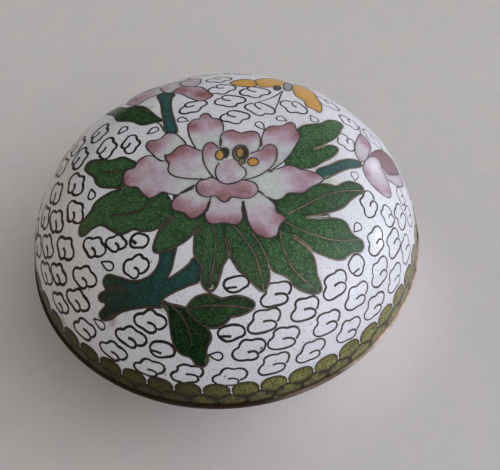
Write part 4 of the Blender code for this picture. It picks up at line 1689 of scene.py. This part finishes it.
def spot_mesh(name, spots, profile):
    """Bare points on a wall. Each carries which shape stands there, which way, and how large."""
    flat = np.array([spot.place for spot in spots])
    places, normals = wrap(profile, flat)
    toward_top = -flat / np.linalg.norm(flat, axis=1)[:, None]
    upright = wrap(profile, flat + TANGENT_REACH * toward_top)[0] - places
    upright /= np.linalg.norm(upright, axis=1)[:, None]
    sideways = np.cross(upright, normals)
    turns = np.array([spot.turn for spot in spots])[:, None]
    turned = upright * np.cos(turns) - sideways * np.sin(turns)
    mesh = bpy.data.meshes.new(name)
    mesh.from_pydata(places.tolist(), [], [])
    add_attribute(mesh, "facing", "FLOAT_VECTOR", "POINT", normals)
    add_attribute(mesh, "upright", "FLOAT_VECTOR", "POINT", turned)
    add_attribute(mesh, "size", "FLOAT_VECTOR", "POINT", [(spot.wide, spot.tall, 1.0) for spot in spots])
    mesh.attributes.new("shape", "INT", "POINT").data.foreach_set("value", [spot.shape for spot in spots])
    return mesh


def repeated_wires(name, spots, wall, width, material, bend=0.0, on_ground=1.0, step=WIRE_STEP):
    """A piece of wire shapes that stand at spots of a wall, which is the lid or the bowl."""
    host = in_scene(name, spot_mesh(name, spots, lid_profile if wall is lid else bowl_profile))
    return run_tree(host, repeat_tree, {
        "Shapes": shapes, "Shell": wall, "Hand": bend, "Width": width, "Rise": WIRE_RISE, "Step": step,
        "On ground": on_ground, "Metal": material})


def coin_spots(reach):
    """The coins of both rows, upright and at full size."""
    made = []
    for row, shape in enumerate((UPPER, LOWER)):
        s = reach - (UPPER_COIN, LOWER_COIN)[row][0]
        places = [np.array((s * math.cos(turn), s * math.sin(turn))) for turn in coin_turns(row)]
        made += [Spot(place, 0.0, 1.0, 1.0, shape) for place in places]
    return made


cloud_ribbons = repeated_wires("lid_wires_clouds", lid_spots, lid, CLOUD_WIRE, wire_dark, CLOUD_BEND)
drop_ribbons = repeated_wires(
    "lid_wires_drops", drop_spots, lid, DROP_WIRE, wire_dark, DROP_BEND, step=DROP_STEP)
bowl_ribbons = repeated_wires("bowl_wires_clouds", bowl_spots, bowl, CLOUD_WIRE, wire_dark, CLOUD_BEND)
lid_border = repeated_wires(
    "lid_wires_border", coin_spots(LID_REACH), lid, BORDER_WIRE, wire_border, on_ground=0.0)
bowl_border = repeated_wires(
    "bowl_wires_border", coin_spots(BOWL_REACH), bowl, BORDER_WIRE, wire_border, on_ground=0.0)
for pattern in list(shapes.objects):
    bpy.data.objects.remove(pattern)
bpy.data.collections.remove(shapes)

# %% [markdown]
# ## Brass rims and foot
# Rims and foot are plain turned rings. A lathe is one profile carried round a circle, which is what
# Curve to Mesh does, and Fillet Curve rounds the corners that fingers have worn soft.

# %% Lathe tree
CORNER_POINTS = 3
lathe_tree, taken, given = new_group(
    "Turned ring",
    "GeometryNodeTree",
    [("Profile", "Geometry", None), ("Ring radius", "Float", 30 * MM), ("Rounding", "Float", 0.3 * MM),
     ("Steps", "Int", 240), ("Metal", "Material", None)],
    [("Ring", "Geometry")],
)
outline = result(lathe_tree, "GeometryNodeMeshToCurve", {"Mesh": taken["Profile"]})
eased = add(lathe_tree, "GeometryNodeFilletCurve", {"Curve": outline, "Radius": taken["Rounding"]})
if "Mode" in eased.inputs:
    eased.inputs["Mode"].default_value = "Poly"
else:
    eased.mode = "POLY"
eased.inputs["Count"].default_value = CORNER_POINTS
path = result(lathe_tree, "GeometryNodeCurvePrimitiveCircle", {
    "Resolution": taken["Steps"], "Radius": taken["Ring radius"]})
swept = result(lathe_tree, "GeometryNodeCurveToMesh", {"Curve": path, "Profile Curve": eased.outputs[0]})
soft = result(lathe_tree, "GeometryNodeSetShadeSmooth", {"Geometry": swept})
finish_tree(lathe_tree, soft, taken, given)
print(lathe_tree.name, len(lathe_tree.nodes), "nodes")


# %% Rings
RIM_WIDTH = 2.1
FLANGE_CLEARANCE = 0.4
FLANGE_THICKNESS = 0.9
FOOT_WIDTH = 2.0
FOOT_SEAT_OUTER = 0.28
FOOT_SEAT_INNER = 0.04
LID_RIM_ROUNDING = 0.22
BASE_RIM_ROUNDING = 0.2
FOOT_ROUNDING = 0.4

BASE_RIM_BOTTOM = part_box("base_rim")[0].z / MM
BASE_RIM_TOP = LID_RIM_BOTTOM - JOINT_GAP
BASE_RIM_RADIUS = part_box("base_rim")[1].x / MM
FLANGE_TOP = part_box("base_rim")[1].z / MM
LID_RIM_INNER = RIM_RADIUS - RIM_WIDTH
FLANGE_OUTER = LID_RIM_INNER - FLANGE_CLEARANCE
FLANGE_INNER = FLANGE_OUTER - FLANGE_THICKNESS
FOOT_INNER = FOOT_EDGE - FOOT_WIDTH


def ring(name, corners, rounding):
    """A turned ring from its corners (radius, height) in mm, given clockwise from the outer top."""
    radius = corners[0][0]
    mesh = bpy.data.meshes.new(name)
    vertices = [((r - radius) * MM, -z * MM, 0.0) for r, z in corners]
    mesh.from_pydata(vertices, [(i, (i + 1) % len(corners)) for i in range(len(corners))], [])
    return run_tree(in_scene(name, mesh), lathe_tree, {
        "Ring radius": radius * MM, "Rounding": rounding * MM, "Metal": rim_metal})


lid_rim = ring("lid_rim_ring", [
    (RIM_RADIUS, LID_RIM_TOP), (RIM_RADIUS, LID_RIM_BOTTOM), (LID_RIM_INNER, LID_RIM_BOTTOM),
    (LID_RIM_INNER, LID_RIM_TOP)], LID_RIM_ROUNDING)
base_rim = ring("base_rim_ring", [
    (BASE_RIM_RADIUS, BASE_RIM_TOP), (BASE_RIM_RADIUS, BASE_RIM_BOTTOM), (FLANGE_INNER, BASE_RIM_BOTTOM),
    (FLANGE_INNER, FLANGE_TOP), (FLANGE_OUTER, FLANGE_TOP), (FLANGE_OUTER, BASE_RIM_TOP)], BASE_RIM_ROUNDING)
foot = ring("foot_ring_turned", [
    (FOOT_EDGE, BOWL_BOTTOM + FOOT_SEAT_OUTER), (FOOT_EDGE, 0.0), (FOOT_INNER, 0.0),
    (FOOT_INNER, BOWL_BOTTOM + FOOT_SEAT_INNER)], FOOT_ROUNDING)

# %% [markdown]
# ## What each piece rides on and stands for
# The row has one body, root, because the lid simply lifts off.

# %% Frame calls
lid_ribbons = (cloud_ribbons, drop_ribbons, petal_ribbons, leaf_ribbons, lid_border)
for piece in lid_ribbons:
    bake_map(piece, lid_distance, LID_REACH)
for piece in (bowl_ribbons, bowl_border):
    bake_map(piece, bowl_distance, BOWL_REACH)
for piece in (lid, *lid_ribbons, lid_rim, bowl, bowl_ribbons, bowl_border, base_rim, foot):
    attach(piece, "root")
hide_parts("lid")
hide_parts("base")
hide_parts("lid_rim")
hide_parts("base_rim")
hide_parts("foot_ring")

# %% [markdown]
# ## Table and light
# The box stands on a pale grey table, lit by a window low on the right and by a room that is brightest
# at the front right. The window is what makes the small sharp highlights on the right shoulder. The
# stone is mottled at several sizes, and painted brighter and warmer round the box, a painted pool of
# bounce light.

# %% Table
TABLE_HALF = 1.5
# Middle, outer edge and full core of the painted pool of light round the box.
GLOW_SPOT = (11 * MM, -5 * MM, 0.0)
GLOW_REACH = 42 * MM
GLOW_CORE = 22 * MM
Mottle = namedtuple("Mottle", "scale detail start end share colour")
mottles = [
    Mottle(130.0, 3.0, 0.48, 0.68, 0.5, (0.73, 0.665, 0.61)),
    Mottle(130.0, 3.0, 0.46, 0.30, 0.4, (0.60, 0.595, 0.62)),
    Mottle(430.0, 3.0, 0.35, 0.65, 0.55, (0.705, 0.66, 0.655)),
    Mottle(2300.0, 1.0, 0.38, 0.62, 0.22, (0.52, 0.50, 0.495)),
]
table_stone, tree, shader = new_material("table")
place = object_place(tree)
tone = rescale(tree, noise(tree, 14.0, 5.0, place), 0.3, 0.7)
stone = mix_colour(tree, tone, (0.635, 0.605, 0.59, 1), (0.67, 0.645, 0.64, 1))
for mottle in mottles:
    patch = noise(tree, mottle.scale, mottle.detail, place)
    cover = rescale(tree, patch, mottle.start, mottle.end, high=mottle.share)
    stone = mix_colour(tree, cover, stone, (*mottle.colour, 1))
# Painted light: a brighter, warmer pool on the table round the box.
beside = vector_maths(tree, "DISTANCE", {0: place, 1: GLOW_SPOT}).outputs["Value"]
painted_light = rescale(tree, beside, GLOW_REACH, GLOW_CORE, high=0.6, interpolation_type="SMOOTHSTEP")
stone = mix_colour(tree, painted_light, stone, (0.90, 0.83, 0.83, 1))
crumbs = result(
    tree, "ShaderNodeGroup", {"Vector": place, "Scale": 95.0, "Share": 0.22, "Size": 0.075}, node_tree=specks)
stone = mix_colour(tree, maths(tree, "MULTIPLY", crumbs, 0.55), stone, (0.26, 0.24, 0.24, 1))
tree.links.new(stone, shader.inputs["Base Color"])
shader.inputs["Roughness"].default_value = 0.45
table_mesh = bpy.data.meshes.new("table")
corners = [(x * TABLE_HALF, y * TABLE_HALF, 0.0) for x, y in ((-1, -1), (1, -1), (1, 1), (-1, 1))]
table_mesh.from_pydata(corners, [], [(0, 1, 2, 3)])
table_mesh.materials.append(table_stone)
floor = in_scene("table", table_mesh)
print("table", 2 * TABLE_HALF, "m across")


# %% Lights
WINDOW_REACH = 0.9


def direction_of(azimuth, elevation):
    """The way to a light, in degrees round from +X and up."""
    turn, rise = math.radians(azimuth), math.radians(elevation)
    return Vector((math.cos(rise) * math.cos(turn), math.cos(rise) * math.sin(turn), math.sin(rise)))


def window(name, azimuth, elevation, width, height, power, colour):
    """A pane of the window, which faces the box."""
    lamp = bpy.data.lights.new(name, "AREA")
    lamp.shape = "RECTANGLE"
    lamp.size = width
    lamp.size_y = height
    lamp.energy = power
    lamp.color = colour
    way = direction_of(azimuth, elevation)
    pane = in_scene(name, lamp)
    pane.location = rim_centre + WINDOW_REACH * way
    pane.rotation_euler = way.to_track_quat("Z", "Y").to_euler()


window("window_pane", 4, 9.5, 0.085, 0.13, 0.30, (0.95, 0.97, 1.0))
window("window_near_pane", -26, 13, 0.05, 0.07, 0.11, (0.98, 0.95, 1.0))
window("window_far_pane", 37, 7, 0.05, 0.16, 0.17, (1.0, 0.93, 1.0))

# %% Light of the room
ROOM_FALLOFF = 4.0
room_glows = [
    (-30, 15, (1.70, 1.78, 2.12)),
    (10, 15, (1.00, 1.14, 1.30)),
    (50, 15, (0.62, 0.60, 0.58)),
    (170, 15, (0.57, 0.52, 0.38)),
    (-45, 50, (0.50, 0.42, 0.26)),
    (0, 90, (0.29, 0.31, 0.34)),
]
world = bpy.data.worlds.new("room")
world.use_nodes = True
tree = world.node_tree
sight = add(tree, "ShaderNodeTexCoord").outputs["Generated"]
room = (0.0, 0.0, 0.0)
for azimuth, elevation, colour in room_glows:
    way = tuple(direction_of(azimuth, elevation))
    facing = vector_maths(tree, "DOT_PRODUCT", {0: sight, 1: way}).outputs["Value"]
    glow = maths(tree, "POWER", maths(tree, "MAXIMUM", facing, 0.0), ROOM_FALLOFF)
    tint = vector_maths(tree, "SCALE", {0: colour, "Scale": glow}).outputs[0]
    room = vector_maths(tree, "ADD", {0: room, 1: tint}).outputs[0]
tree.links.new(room, tree.nodes["Background"].inputs["Color"])
bpy.context.scene.world = world
bpy.context.scene.view_settings.view_transform = "Standard"
